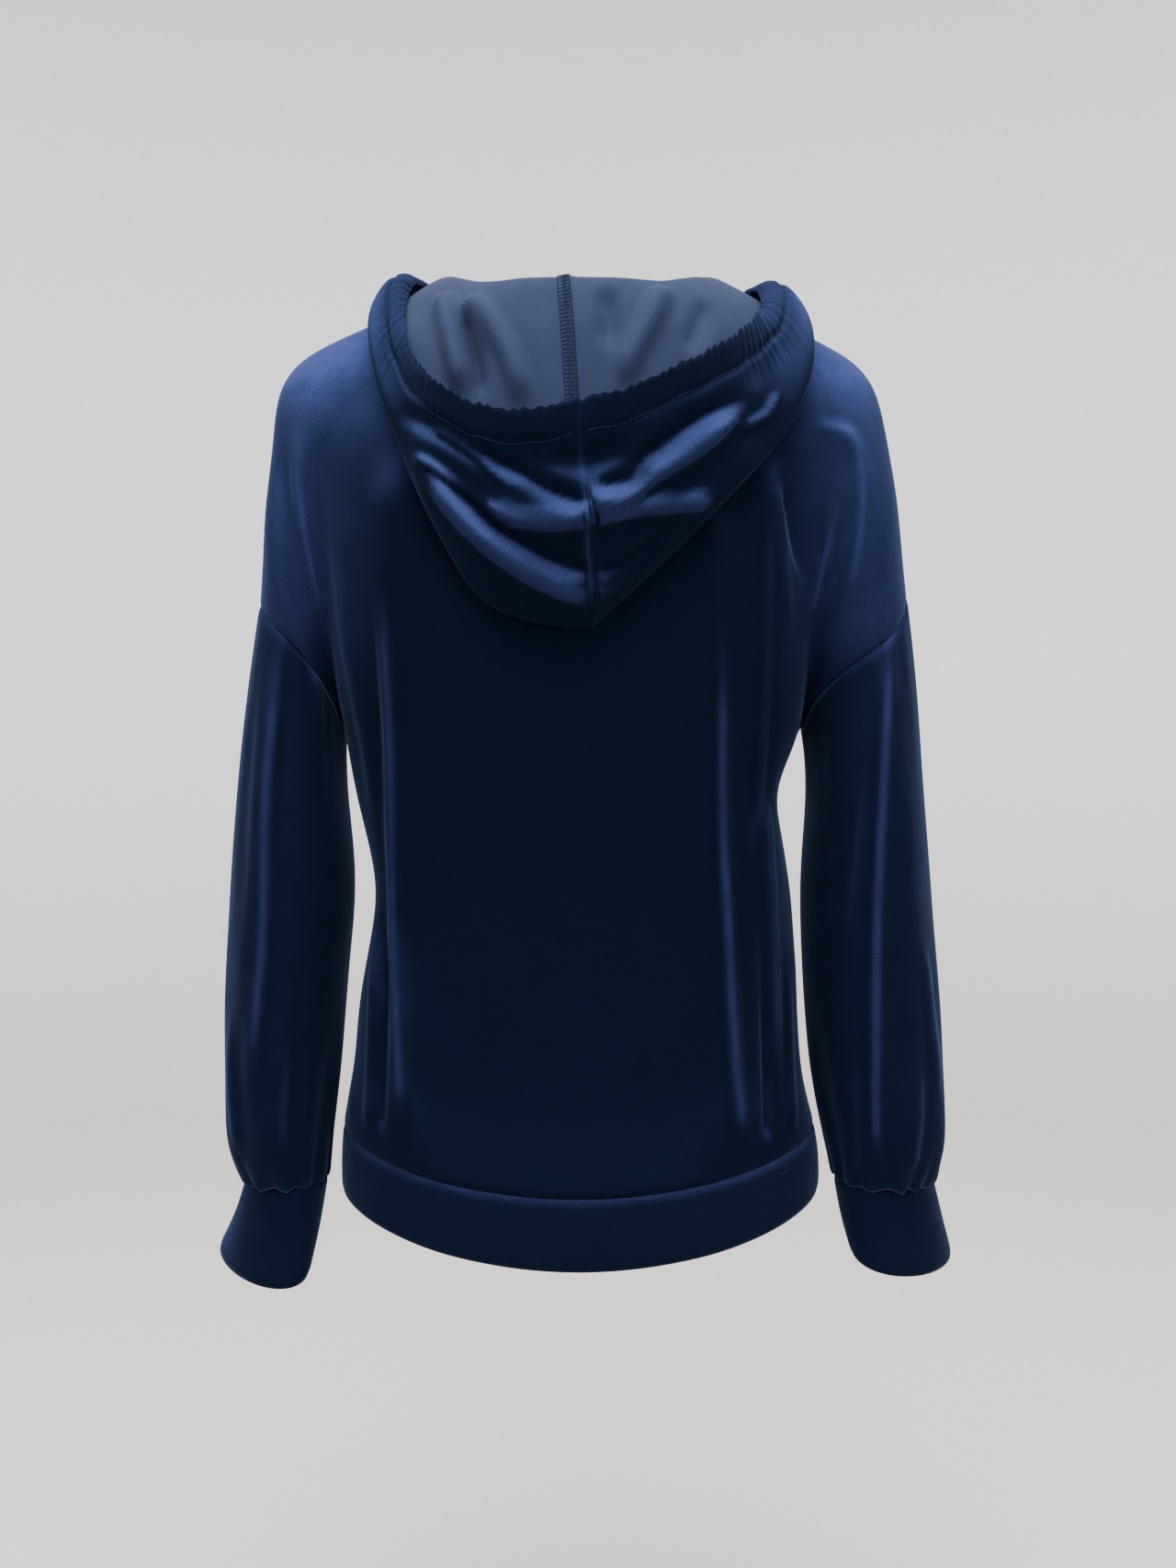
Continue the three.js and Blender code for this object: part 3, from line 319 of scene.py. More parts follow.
class VelvetSettings(bpy.types.PropertyGroup):
    """Colours and sizes of the pile and of the knit side"""

    pile_dark: FloatVectorProperty(
        name="Pile in shade", description="Colour deep in the pile", subtype="COLOR", size=4,
        min=0, max=1, default=(0.0012, 0.0036, 0.0098, 1))
    # Painted light: the colour painted where the pile would catch the light
    pile_painted_lit: FloatVectorProperty(
        name="Pile in light", description="Colour of the brushed pile", subtype="COLOR", size=4,
        min=0, max=1, default=(0.030, 0.041, 0.128, 1))
    sheen: FloatVectorProperty(
        name="Sheen", description="Tint of the light on the pile's edges", subtype="COLOR", size=4,
        min=0, max=1, default=(0.30, 0.45, 0.95, 1))
    knit: FloatVectorProperty(
        name="Knit side", description="Colour of the matt inside", subtype="COLOR", size=4,
        min=0, max=1, default=(0.0185, 0.0290, 0.0680, 1))
    thread: FloatVectorProperty(
        name="Thread", description="Colour of the sewing thread", subtype="COLOR", size=4,
        min=0, max=1, default=(0.016, 0.026, 0.062, 1))
    wall: FloatProperty(
        name="Cloth", description="Thickness of one layer with its pile", subtype="DISTANCE",
        unit="LENGTH", min=0.0005, max=0.004, default=1.4 * MM)
    doubled: FloatProperty(
        name="Doubled cloth", description="Thickness of the cuffs and the hem band",
        subtype="DISTANCE", unit="LENGTH", min=0.001, max=0.006, default=2.4 * MM)
    fineness: IntProperty(
        name="Fineness", description="Subdivision of the panels", min=0, max=3, default=3)


class StudioSettings(bpy.types.PropertyGroup):
    """Light and backdrop"""

    wall: FloatVectorProperty(
        name="Backdrop", description="Colour of the backdrop", subtype="COLOR", size=4,
        min=0, max=1, default=(0.95, 0.955, 0.97, 1))
    # Painted shade: the floor colour is darker and warmer than the backdrop
    floor: FloatVectorProperty(
        name="Floor", description="Colour of the floor", subtype="COLOR", size=4,
        min=0, max=1, default=(0.74, 0.71, 0.66, 1))
    top_power: FloatProperty(
        name="Top light", description="Power of the large light above", unit="POWER",
        min=0, default=110.0)
    fill_power: FloatProperty(
        name="Fill light", description="Power of the light behind the camera", unit="POWER",
        min=0, default=14.0)


def deselect():
    if bpy.context.object and bpy.context.object.mode != "OBJECT":
        bpy.ops.object.mode_set(mode="OBJECT")
    bpy.ops.object.select_all(action="DESELECT")


def only(piece):
    deselect()
    piece.select_set(True)
    bpy.context.view_layer.objects.active = piece


def place(mesh_name, mesh):
    piece = bpy.data.objects.new(mesh_name, mesh)
    bpy.context.scene.collection.objects.link(piece)
    return piece


# Finding the grid of cells in a CAD wall
def is_wall(length, thinnest):
    return length < thinnest or any(abs(length - wall) < WALL_SLACK for wall in SOLID_WALLS)


def right_side(node, facing, thinnest):
    """The outer sheet of a CAD wall as triangles in a new bmesh"""
    sheet = bmesh.new()
    sheet.from_mesh(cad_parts[node].data)
    bmesh.ops.remove_doubles(sheet, verts=sheet.verts, dist=MERGE_DISTANCE)
    edging = [face for face in sheet.faces
              if any(is_wall(edge.calc_length(), thinnest) for edge in face.edges)]
    bmesh.ops.delete(sheet, geom=edging, context="FACES")
    start = max(sheet.verts, key=lambda vert: facing * vert.co.y)
    wanted, waiting = {start}, [start]
    while waiting:
        for edge in waiting.pop().link_edges:
            for vert in edge.verts:
                if vert not in wanted:
                    wanted.add(vert)
                    waiting.append(vert)
    spare = [vert for vert in sheet.verts if vert not in wanted]
    bmesh.ops.delete(sheet, geom=spare, context="VERTS")
    return sheet


def walk_diagonals(sheet, face, edge):
    """The edge of each triangle that matches one edge of the first, cell by cell"""
    diagonal = {face: edge}
    waiting = [face]
    while waiting:
        face = waiting.pop(0)
        for edge in face.edges:
            for other in edge.link_faces:
                if other not in diagonal:
                    diagonal[other] = matching_edge(other, edge, diagonal[face])
                    waiting.append(other)
    return set(diagonal.values())


def matching_edge(other, edge, diagonal):
    if edge == diagonal:
        return edge
    wanted = next(vert for vert in edge.verts if vert not in diagonal.verts)
    return next(side for side in other.edges if side != edge and wanted in side.verts)


def join_triangles(sheet):
    """Joins the two triangles of each cell. Diagonals never lie on an open edge and are longest."""
    first = next(iter(sheet.faces))
    families = [walk_diagonals(sheet, first, edge) for edge in first.edges]
    inner = [family for family in families if not any(edge.is_boundary for edge in family)]
    diagonals = max(inner, key=lambda family: sum(edge.calc_length() for edge in family))
    in_order = [edge for edge in sheet.edges if edge in diagonals]
    bmesh.ops.dissolve_edges(sheet, edges=in_order, use_verts=False)
    if any(len(face.verts) != 4 for face in sheet.faces):
        raise RuntimeError("the sheet isn't a grid of four-sided cells")


def number_cells(sheet):
    """Row and column of each corner, with row 0 at the top or the neck"""
    first = next(iter(sheet.faces))
    places = dict(zip(first.verts, ((0, 0), (0, 1), (1, 1), (1, 0))))
    waiting, seen = [first], {first}
    while waiting:
        face = waiting.pop(0)
        for loop in face.loops:
            start, end = loop.vert, loop.link_loop_next.vert
            before, after = loop.link_loop_prev.vert, loop.link_loop_next.link_loop_next.vert
            for other in loop.edge.link_faces:
                if other in seen:
                    continue
                seen.add(other)
                waiting.append(other)
                for side in other.edges:
                    if side == loop.edge:
                        continue
                    for near, far in ((start, before), (end, after)):
                        if near in side.verts:
                            step = [2 * places[near][k] - places[far][k] for k in (0, 1)]
                            places.setdefault(side.other_vert(near), tuple(step))
    return places


def mean_over(places, axis, line, measure):
    """Mean measure of the corners on one row, for axis 0, or one column, for axis 1"""
    values = [measure(vert.co) for vert, p in places.items() if p[axis] == line]
    return sum(values) / len(values)


def count_up(places, axis, measure):
    """Each corner's row or column, counted from 0 at the end with the smaller measure"""
    low, high = (end(p[axis] for p in places.values()) for end in (min, max))
    if mean_over(places, axis, high, measure) > mean_over(places, axis, low, measure):
        return {vert: p[axis] - low for vert, p in places.items()}
    return {vert: high - p[axis] for vert, p in places.items()}


def straighten(places, outermost_last):
    """Turns the numbering so that rows run down, or out from the neck, and columns forward"""
    if len({p[0] for p in places.values()}) > len({p[1] for p in places.values()}):
        places = {vert: (p[1], p[0]) for vert, p in places.items()}
    outward = (lambda co: math.hypot(co.x, co.y)) if outermost_last else (lambda co: -co.z)
    rows = count_up(places, 0, outward)
    columns = count_up(places, 1, lambda co: -co.y)
    return {vert: (rows[vert], columns[vert]) for vert in places}


def column_lengths(places):
    """Distance down each column to its last corner"""
    columns = {}
    for vert, (row, column) in places.items():
        columns.setdefault(column, {})[row] = vert
    left = {}
    for rows in columns.values():
        order = sorted(rows)
        total = 0.0
        left[rows[order[-1]]] = 0.0
        for upper, lower in zip(order[-2::-1], order[:0:-1]):
            total += (rows[upper].co - rows[lower].co).length
            left[rows[upper]] = total
    return left


def row_lengths(places):
    """Distance along the last row to each column"""
    last = max(row for row, column in places.values())
    ends = sorted((column, vert) for vert, (row, column) in places.items() if row == last)
    along, total = {}, 0.0
    for (column, vert), before in zip(ends, [None, *ends[:-1]]):
        if before:
            total += (vert.co - before[1].co).length
        along[column] = total
    return {vert: along[column] for vert, (row, column) in places.items() if column in along}


def cloth_sheet(node, name, facing, outermost_last=False, thinnest=0.0):
    """A smooth single sheet on the right side of a CAD node, with the place of each point"""
    sheet = right_side(node, facing, thinnest)
    join_triangles(sheet)
    places = straighten(number_cells(sheet), outermost_last)
    values = {
        "row": {vert: p[0] for vert, p in places.items()},
        "column": {vert: p[1] for vert, p in places.items()},
        "below": column_lengths(places),
        "along": row_lengths(places),
        "crest_highlight": {},
    }
    sheet.verts.index_update()
    rows = {label: [table.get(vert, 0.0) for vert in sheet.verts]
            for label, table in values.items()}
    mesh = bpy.data.meshes.new(name)
    sheet.to_mesh(mesh)
    sheet.free()
    for label, row in rows.items():
        mesh.attributes.new(label, "FLOAT", "POINT").data.foreach_set("value", row)
    piece = place(name, mesh)
    only(piece)
    smooth = piece.modifiers.new("fine", "SUBSURF")
    smooth.levels = smooth.render_levels = bpy.context.scene.hoodie_velvet.fineness
    smooth.boundary_smooth = "PRESERVE_CORNERS"
    bpy.ops.object.modifier_apply(modifier="fine")
    close_seams(piece)
    return piece


# Reading and moving points
def points_of(piece):
    values = np.empty(len(piece.data.vertices) * 3)
    piece.data.vertices.foreach_get("co", values)
    return values.reshape(-1, 3)


def normals_of(piece):
    values = np.empty(len(piece.data.vertices) * 3)
    piece.data.vertices.foreach_get("normal", values)
    return values.reshape(-1, 3)


def value_of(piece, label):
    values = np.empty(len(piece.data.vertices))
    piece.data.attributes[label].data.foreach_get("value", values)
    return values


def mark(piece, label, values):
    marks = piece.data.attributes
    layer = marks.get(label) or marks.new(label, "FLOAT", "POINT")
    layer.data.foreach_set("value", values.astype(np.float32))


def set_points(piece, points):
    piece.data.vertices.foreach_set("co", points.astype(np.float32).ravel())
    piece.data.update()


def push_out(piece, height):
    set_points(piece, points_of(piece) + normals_of(piece) * height[:, None])


def ease(share):
    share = np.clip(share, 0.0, 1.0)
    return share * share * (3 - 2 * share)


def smooth_line(corners, step):
    """A Catmull-Rom line through corners, with a point about every step"""
    corners = [np.array(c, float) for c in corners]
    padded = [2 * corners[0] - corners[1], *corners, 2 * corners[-1] - corners[-2]]
    line = []
    for a, b, c, d in zip(padded, padded[1:], padded[2:], padded[3:]):
        count = max(2, int(np.linalg.norm(c - b) / step))
        for u in np.arange(count) / count:
            line.append(0.5 * (2 * b + (c - a) * u + (2 * a - 5 * b + 4 * c - d) * u ** 2
                               + (3 * b - 3 * c + d - a) * u ** 3))
    line.append(corners[-1])
    return np.array(line)


def fold_height(points, folds):
    """Height of the listed folds at each point, by its place in the plane of X and Z"""
    flat = points[:, (0, 2)] / MM
    height = np.zeros(len(points))
    for fold in folds:
        line = smooth_line(fold.line, FOLD_STEP)
        reach = FOLD_REACH * fold.width
        near = np.all((flat > line.min(0) - reach) & (flat < line.max(0) + reach), axis=1)
        if not near.any():
            continue
        gaps = np.linalg.norm(flat[near][:, None, :] - line[None, :, :], axis=2)
        nearest = gaps.argmin(1)
        is_under = flat[near][:, 1] < line[nearest, 1]
        width = np.where(is_under, fold.under or fold.width, fold.width)
        q = (gaps[np.arange(len(nearest)), nearest] / width) ** 2
        share = nearest / (len(line) - 1)
        fade = ease(share / fold.start) * ease((1 - share) / fold.end)
        height[near] += fold.height * fade * (1 - SIDE_TROUGH * q) * np.exp(-q)
    return height * MM


def facing_share(piece, facing, limits=FACING):
    low, high = limits
    return ease((normals_of(piece)[:, 1] * facing - low) / (high - low))


def fold(piece, height):
    """Pushes the cloth out by a height and remembers its crests for their painted highlight"""
    # Crests get a painted highlight in the pile's colour
    crest_highlight = np.clip(height / CREST, 0, 1) ** CREST_NARROWNESS
    mark(piece, "crest_highlight", np.maximum(value_of(piece, "crest_highlight"), crest_highlight))
    push_out(piece, height)


def paint_light(piece, shoulder=0.0, base=PAINTED_LIGHT_BASE):
    """Paints light into the pile's colour: top light on cloth that faces up, highlights on crests and
    light on drop shoulders
    """
    up = ease((normals_of(piece)[:, 2] - TOP_LIGHT_START) / (TOP_LIGHT_FULL - TOP_LIGHT_START))
    points = points_of(piece)
    # Painted light on the drop shoulders, where the top light falls
    arm = (ease((np.abs(points[:, 0]) - SHOULDER_LIGHT_X) / SHOULDER_LIGHT_FADE)
           * ease((points[:, 2] - ARMPIT_Z) / SHOULDER_LIGHT_FADE))
    # Painted light: a base, painted top light where the cloth faces up, painted highlights on crests and
    # painted light on the drop shoulders
    painted_light = base + PAINTED_TOP_LIGHT * up + PAINTED_CREST_HIGHLIGHT * value_of(piece, "crest_highlight") + shoulder * arm
    mark(piece, "painted_light", np.clip(painted_light, 0.0, 1.0))


def edge_distance(piece, keep=lambda point: True):
    """Distance of each point to the piece's open edges"""
    sheet = bmesh.new()
    sheet.from_mesh(piece.data)
    edge = [vert.co.copy() for vert in sheet.verts if vert.is_boundary and keep(vert.co)]
    sheet.free()
    tree = KDTree(len(edge))
    for index, point in enumerate(edge):
        tree.insert(point, index)
    tree.balance()
    return np.array([tree.find(point)[2] for point in points_of(piece)])


def close_seams(piece):
    """Lets the open edges run on a little, so that no light shows through a seam"""
    sheet = bmesh.new()
    sheet.from_mesh(piece.data)
    moves = {}
    for vert in sheet.verts:
        if vert.is_boundary:
            inner = [edge.other_vert(vert) for edge in vert.link_edges if not edge.is_boundary]
            if inner:
                away = sum((vert.co - other.co for other in inner), Vector())
                moves[vert] = vert.co + away.normalized() * SEAM_OVERLAP
    for vert, spot in moves.items():
        vert.co = spot
    sheet.to_mesh(piece.data)
    sheet.free()


def sink_seams(piece, keep=lambda point: True, depth=SEAM_DIP):
    distance = edge_distance(piece, keep)
    push_out(piece, -depth * np.exp(-(distance / SEAM_DIP_WIDTH) ** 2))


def uneven_wave(phase):
    """A wave whose steps and heights vary"""
    drift = WAVE_DRIFT[0] * np.sin(phase * WAVE_DRIFT[1] + WAVE_DRIFT[2])
    swell = WAVE_SWELL[0] * np.sin(phase * WAVE_SWELL[1] + WAVE_SWELL[2])
    return np.sin(phase + drift) * (WAVE_MEAN + swell)


def thicken(piece, wall, outside, inside):
    only(piece)
    piece.data.materials.append(outside)
    piece.data.materials.append(inside)
    shell = piece.modifiers.new("wall", "SOLIDIFY")
    shell.thickness = wall
    shell.offset = -1.0
    shell.material_offset = 1
    shell.material_offset_rim = 0
    bpy.ops.object.modifier_apply(modifier="wall")
    bpy.ops.object.shade_smooth()


def finish_piece(piece, node):
    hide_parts(node)
    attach(piece, "root")


# Materials
def new_material(name):
    material = bpy.data.materials.new(name)
    material.use_nodes = True
    nodes = material.node_tree.nodes
    return material, nodes, material.node_tree.links, nodes["Principled BSDF"]


def noise_node(nodes, links, coordinates, scale, detail=3.0, roughness=0.55, distortion=0.0):
    noise = nodes.new("ShaderNodeTexNoise")
    noise.inputs["Scale"].default_value = scale
    noise.inputs["Detail"].default_value = detail
    noise.inputs["Roughness"].default_value = roughness
    noise.inputs["Distortion"].default_value = distortion
    links.new(coordinates, noise.inputs["Vector"])
    return noise.outputs["Fac"]


def ramp_node(nodes, links, value, low, high, low_color, high_color):
    ramp = nodes.new("ShaderNodeValToRGB")
    ramp.color_ramp.elements[0].position = low
    ramp.color_ramp.elements[1].position = high
    ramp.color_ramp.elements[0].color = low_color
    ramp.color_ramp.elements[1].color = high_color
    links.new(value, ramp.inputs["Fac"])
    return ramp.outputs["Color"]


def range_node(nodes, links, value, low, high):
    ranged = nodes.new("ShaderNodeMapRange")
    ranged.inputs["From Min"].default_value = NOISE_LOW
    ranged.inputs["From Max"].default_value = NOISE_HIGH
    ranged.inputs["To Min"].default_value = low
    ranged.inputs["To Max"].default_value = high
    links.new(value, ranged.inputs["Value"])
    return ranged.outputs["Result"]


def multiply_node(nodes, links, first, second):
    product = nodes.new("ShaderNodeMath")
    product.operation = "MULTIPLY"
    links.new(first, product.inputs[0])
    links.new(second, product.inputs[1])
    return product.outputs["Value"]


def bump_node(nodes, links, height, distance, strength, normal=None):
    bump = nodes.new("ShaderNodeBump")
    bump.inputs["Distance"].default_value = distance
    bump.inputs["Strength"].default_value = strength
    links.new(height, bump.inputs["Height"])
    if normal:
        links.new(normal, bump.inputs["Normal"])
    return bump.outputs["Normal"]


def set_sockets(shader, values):
    for socket, value in values.items():
        shader.inputs[socket].default_value = value


def shade_of(color, share):
    return tuple(share * part for part in color[:3]) + (1.0,)


def velvet_material(name):
    """Short pile: near black from straight on, with painted light where it faces up, on crests and on
    shoulders, and lit by its sheen where it is seen across
    """
    velvet = bpy.context.scene.hoodie_velvet
    material, nodes, links, shader = new_material(name)
    place_on = nodes.new("ShaderNodeTexCoord").outputs["Object"]
    painted_light = nodes.new("ShaderNodeAttribute")
    painted_light.attribute_name = "painted_light"
    brushed = noise_node(nodes, links, place_on, *BRUSHED_NOISE)
    pile = noise_node(nodes, links, place_on, *PILE_NOISE)
    uneven = multiply_node(nodes, links, painted_light.outputs["Fac"],
                           range_node(nodes, links, brushed, *BRUSHED_LIGHT_RANGE))
    grained = multiply_node(nodes, links, uneven, range_node(nodes, links, pile, *PILE_LIGHT_RANGE))
    # Base colour runs from the dark pile to painted light, by the painted light attribute
    links.new(ramp_node(nodes, links, grained, 0.0, 1.0, velvet.pile_dark, velvet.pile_painted_lit),
              shader.inputs["Base Color"])
    links.new(range_node(nodes, links, pile, *PILE_ROUGHNESS), shader.inputs["Roughness"])
    crushed = noise_node(nodes, links, place_on, *CRUSHED_NOISE)
    soft = bump_node(nodes, links, crushed, *CRUSHED_BUMP)
    links.new(bump_node(nodes, links, pile, *PILE_BUMP, soft), shader.inputs["Normal"])
    set_sockets(shader, {"Specular IOR Level": 0.02, "Sheen Weight": 0.11,
                         "Sheen Roughness": 0.34, "Sheen Tint": velvet.sheen})
    return material


def knit_material(name):
    """Fine matt knit, the ground that the pile is made on"""
    velvet = bpy.context.scene.hoodie_velvet
    material, nodes, links, shader = new_material(name)
    place_on = nodes.new("ShaderNodeTexCoord").outputs["Object"]
    worn = noise_node(nodes, links, place_on, *WORN_NOISE)
    loops = noise_node(nodes, links, place_on, *LOOP_NOISE)
    links.new(ramp_node(nodes, links, worn, NOISE_LOW, NOISE_HIGH,
                        shade_of(velvet.knit, KNIT_SHADE), velvet.knit),
              shader.inputs["Base Color"])
    links.new(range_node(nodes, links, loops, *KNIT_ROUGHNESS), shader.inputs["Roughness"])
    links.new(bump_node(nodes, links, loops, *KNIT_BUMP), shader.inputs["Normal"])
    set_sockets(shader, {"Specular IOR Level": 0.12, "Sheen Weight": 0.05,
                         "Sheen Roughness": 0.5, "Sheen Tint": (0.5, 0.6, 0.85, 1.0)})
    return material


def thread_material(name):
    """Matt thread with a slight twist of light and dark"""
    velvet = bpy.context.scene.hoodie_velvet
    material, nodes, links, shader = new_material(name)
    place_on = nodes.new("ShaderNodeTexCoord").outputs["Object"]
    twist = noise_node(nodes, links, place_on, *TWIST_NOISE)
    links.new(ramp_node(nodes, links, twist, 0.35, 0.65,
                        shade_of(velvet.thread, THREAD_SHADE), velvet.thread),
              shader.inputs["Base Color"])
    set_sockets(shader, {"Roughness": 0.85, "Specular IOR Level": 0.05})
    return material


def paint_material(name, floor, wall):
    """Matt paint that pales from the floor up to the backdrop, a painted shade at the foot of the
    backdrop
    """
    material, nodes, links, shader = new_material(name)
    place_on = nodes.new("ShaderNodeTexCoord").outputs["Object"]
    spot = nodes.new("ShaderNodeSeparateXYZ")
    links.new(place_on, spot.inputs["Vector"])
    height = range_node(nodes, links, spot.outputs["Z"], 0.0, 1.0)
    set_sockets(height.node, {"From Min": FLOOR_Z, "From Max": FLOOR_Z + SWEEP_CORNER})
    links.new(ramp_node(nodes, links, height, 0.0, 1.0, floor, wall), shader.inputs["Base Color"])
    set_sockets(shader, {"Roughness": 0.9, "Specular IOR Level": 0.1})
    return material


def shared_material(name, maker):
    return bpy.data.materials.get(name) or maker(name)


# Sewing
def tube(name, paths, radius, sides):
    """A mesh of thin round threads along the paths"""
    points, faces = [], []
    for path in paths:
        path = np.array(path)
        base = len(points)
        ahead = np.gradient(path, axis=0)
        ahead /= np.linalg.norm(ahead, axis=1)[:, None]
        side = np.cross(ahead, THREAD_ASIDE)
        side /= np.linalg.norm(side, axis=1)[:, None]
        up = np.cross(side, ahead)
        for index in range(len(path)):
            for turn in range(sides):
                angle = 2 * math.pi * turn / sides
                points.append(path[index] + radius * (math.cos(angle) * side[index]
                                                      + math.sin(angle) * up[index]))
        for index in range(len(path) - 1):
            for turn in range(sides):
                here, there = base + index * sides, base + (index + 1) * sides
                after = (turn + 1) % sides
                faces.append((here + turn, here + after, there + after, there + turn))
        faces.append(tuple(base + turn for turn in reversed(range(sides))))
        last = base + (len(path) - 1) * sides
        faces.append(tuple(last + turn for turn in range(sides)))
    mesh = bpy.data.meshes.new(name)
    mesh.from_pydata([tuple(p) for p in points], [], faces)
    mesh.update()
    piece = place(name, mesh)
    only(piece)
    bpy.ops.object.mode_set(mode="EDIT")
    bpy.ops.mesh.select_all(action="SELECT")
    bpy.ops.mesh.normals_make_consistent(inside=False)
    bpy.ops.object.mode_set(mode="OBJECT")
    bpy.ops.object.shade_smooth()
    return piece


def between(values, places, wanted):
    """Values at wanted places along a line, each axis by itself"""
    return np.stack([np.interp(wanted, places, values[:, axis]) for axis in range(3)], axis=1)


def distances(line):
    return np.concatenate([[0], np.cumsum(np.linalg.norm(np.diff(line, axis=0), axis=1))])


def resample(path, step):
    """Points evenly apart along a path"""
    path = np.array(path)
    along = distances(path)
    count = max(2, int(along[-1] / step))
    return between(path, along, np.linspace(0, along[-1], count + 1))


def fine_grid(piece, inside=False):
    """Points, normals and depth below the rim on one side of a finished sheet, by fine row"""
    fine = 2 ** bpy.context.scene.hoodie_velvet.fineness
    points, normals = points_of(piece), normals_of(piece)
    half = len(points) // 2
    row = np.rint(value_of(piece, "row")[:half] * fine).astype(int)
    column = np.rint(value_of(piece, "column")[:half] * fine).astype(int)
    grid = np.zeros((row.max() + 1, column.max() + 1), int)
    grid[row, column] = np.arange(half)
    layer = grid + half if inside else grid
    return points[layer], normals[layer], value_of(piece, "below")[grid]


class HOODIE_OT_body(bpy.types.Operator):
    """Front and back panels with their long folds"""

    bl_idname = "hoodie.body"
    bl_label = "Front and Back"

    def execute(self, context):
        velvet = context.scene.hoodie_velvet
        for node, facing, folds, flat in (
                ("back", BACKWARD, BACK_FOLDS, (0.52, 0.60)),
                ("front", FORWARD, FRONT_FOLDS, (0.52, 0.56))):
            piece = cloth_sheet(node, f"{node}_panel", facing)
            fold(piece, fold_height(points_of(piece), folds) * facing_share(piece, facing))
            sink_seams(piece)
            # Painted light on the drop shoulders
            paint_light(piece, PAINTED_SHOULDER_LIGHT)
            thicken(piece, velvet.wall, shared_material("pile", velvet_material),
                    shared_material("knit_side", knit_material))
            finish_piece(piece, node)
        return {"FINISHED"}


class HOODIE_OT_sleeves(bpy.types.Operator):
    """Full sleeves, gathered into the cuffs"""

    bl_idname = "hoodie.sleeves"
    bl_label = "Sleeves"

    def execute(self, context):
        velvet = context.scene.hoodie_velvet
        for name, folds in (("left", LEFT_SLEEVE_FOLDS), ("right", RIGHT_SLEEVE_FOLDS)):
            node = f"sleeve_{name}"
            piece = cloth_sheet(node, f"{node}_panel", BACKWARD, thinnest=SHORTEST_CELL)
            for facing, rows in folds.items():
                fold(piece, fold_height(points_of(piece), rows) * facing_share(piece, facing))
            self.gather(piece, 1.0 if name == "left" else 2.3)
            sink_seams(piece)
            # Painted sheen lifts the sleeves' colour
            paint_light(piece, base=PAINTED_SHEEN_LIFT)
            thicken(piece, velvet.wall, shared_material("pile", velvet_material),
                    shared_material("knit_side", knit_material))
            finish_piece(piece, node)
        return {"FINISHED"}

    def gather(self, piece, phase):
        """Uneven pleats that run up from the cuff"""
        points = points_of(piece)
        below = value_of(piece, "below")
        ring = points[below < CUFF_RING]
        middle = ring.mean(0)
        angle = np.arctan2(points[:, 1] - middle[1], points[:, 0] - middle[0])
        wave = uneven_wave(CUFF_GATHER_COUNT * angle + phase)
        varies = CUFF_GATHER_VARIES * np.sin(CUFF_GATHER_WAVES * angle + phase)
        share = np.clip(1 - below / (CUFF_GATHER_REACH * (CUFF_GATHER_SHARE + varies)), 0, 1)
        fold(piece, CUFF_GATHER_HEIGHT * wave * share ** CUFF_GATHER_FADE)


class HOODIE_OT_bands(bpy.types.Operator):
    """Doubled cuffs and hem band"""

    bl_idname = "hoodie.bands"
    bl_label = "Cuffs and Hem Band"

    def execute(self, context):
        velvet = context.scene.hoodie_velvet
        rows = (("cuff_left", "velvet_cuff", (0.2, 0.06)), ("cuff_right", "velvet_cuff", (0.2, 0.06)),
                ("hem_band", "velvet_band", (0.84, 0.045)))
        for node, slot, flat in rows:
            piece = cloth_sheet(node, f"{node}_doubled", BACKWARD)
            sink_seams(piece)
            # Painted sheen lifts the bands' colour
            paint_light(piece, base=PAINTED_SHEEN_LIFT)
            pile = shared_material("pile", velvet_material)
            thicken(piece, velvet.doubled, pile, pile)
            finish_piece(piece, node)
        return {"FINISHED"}


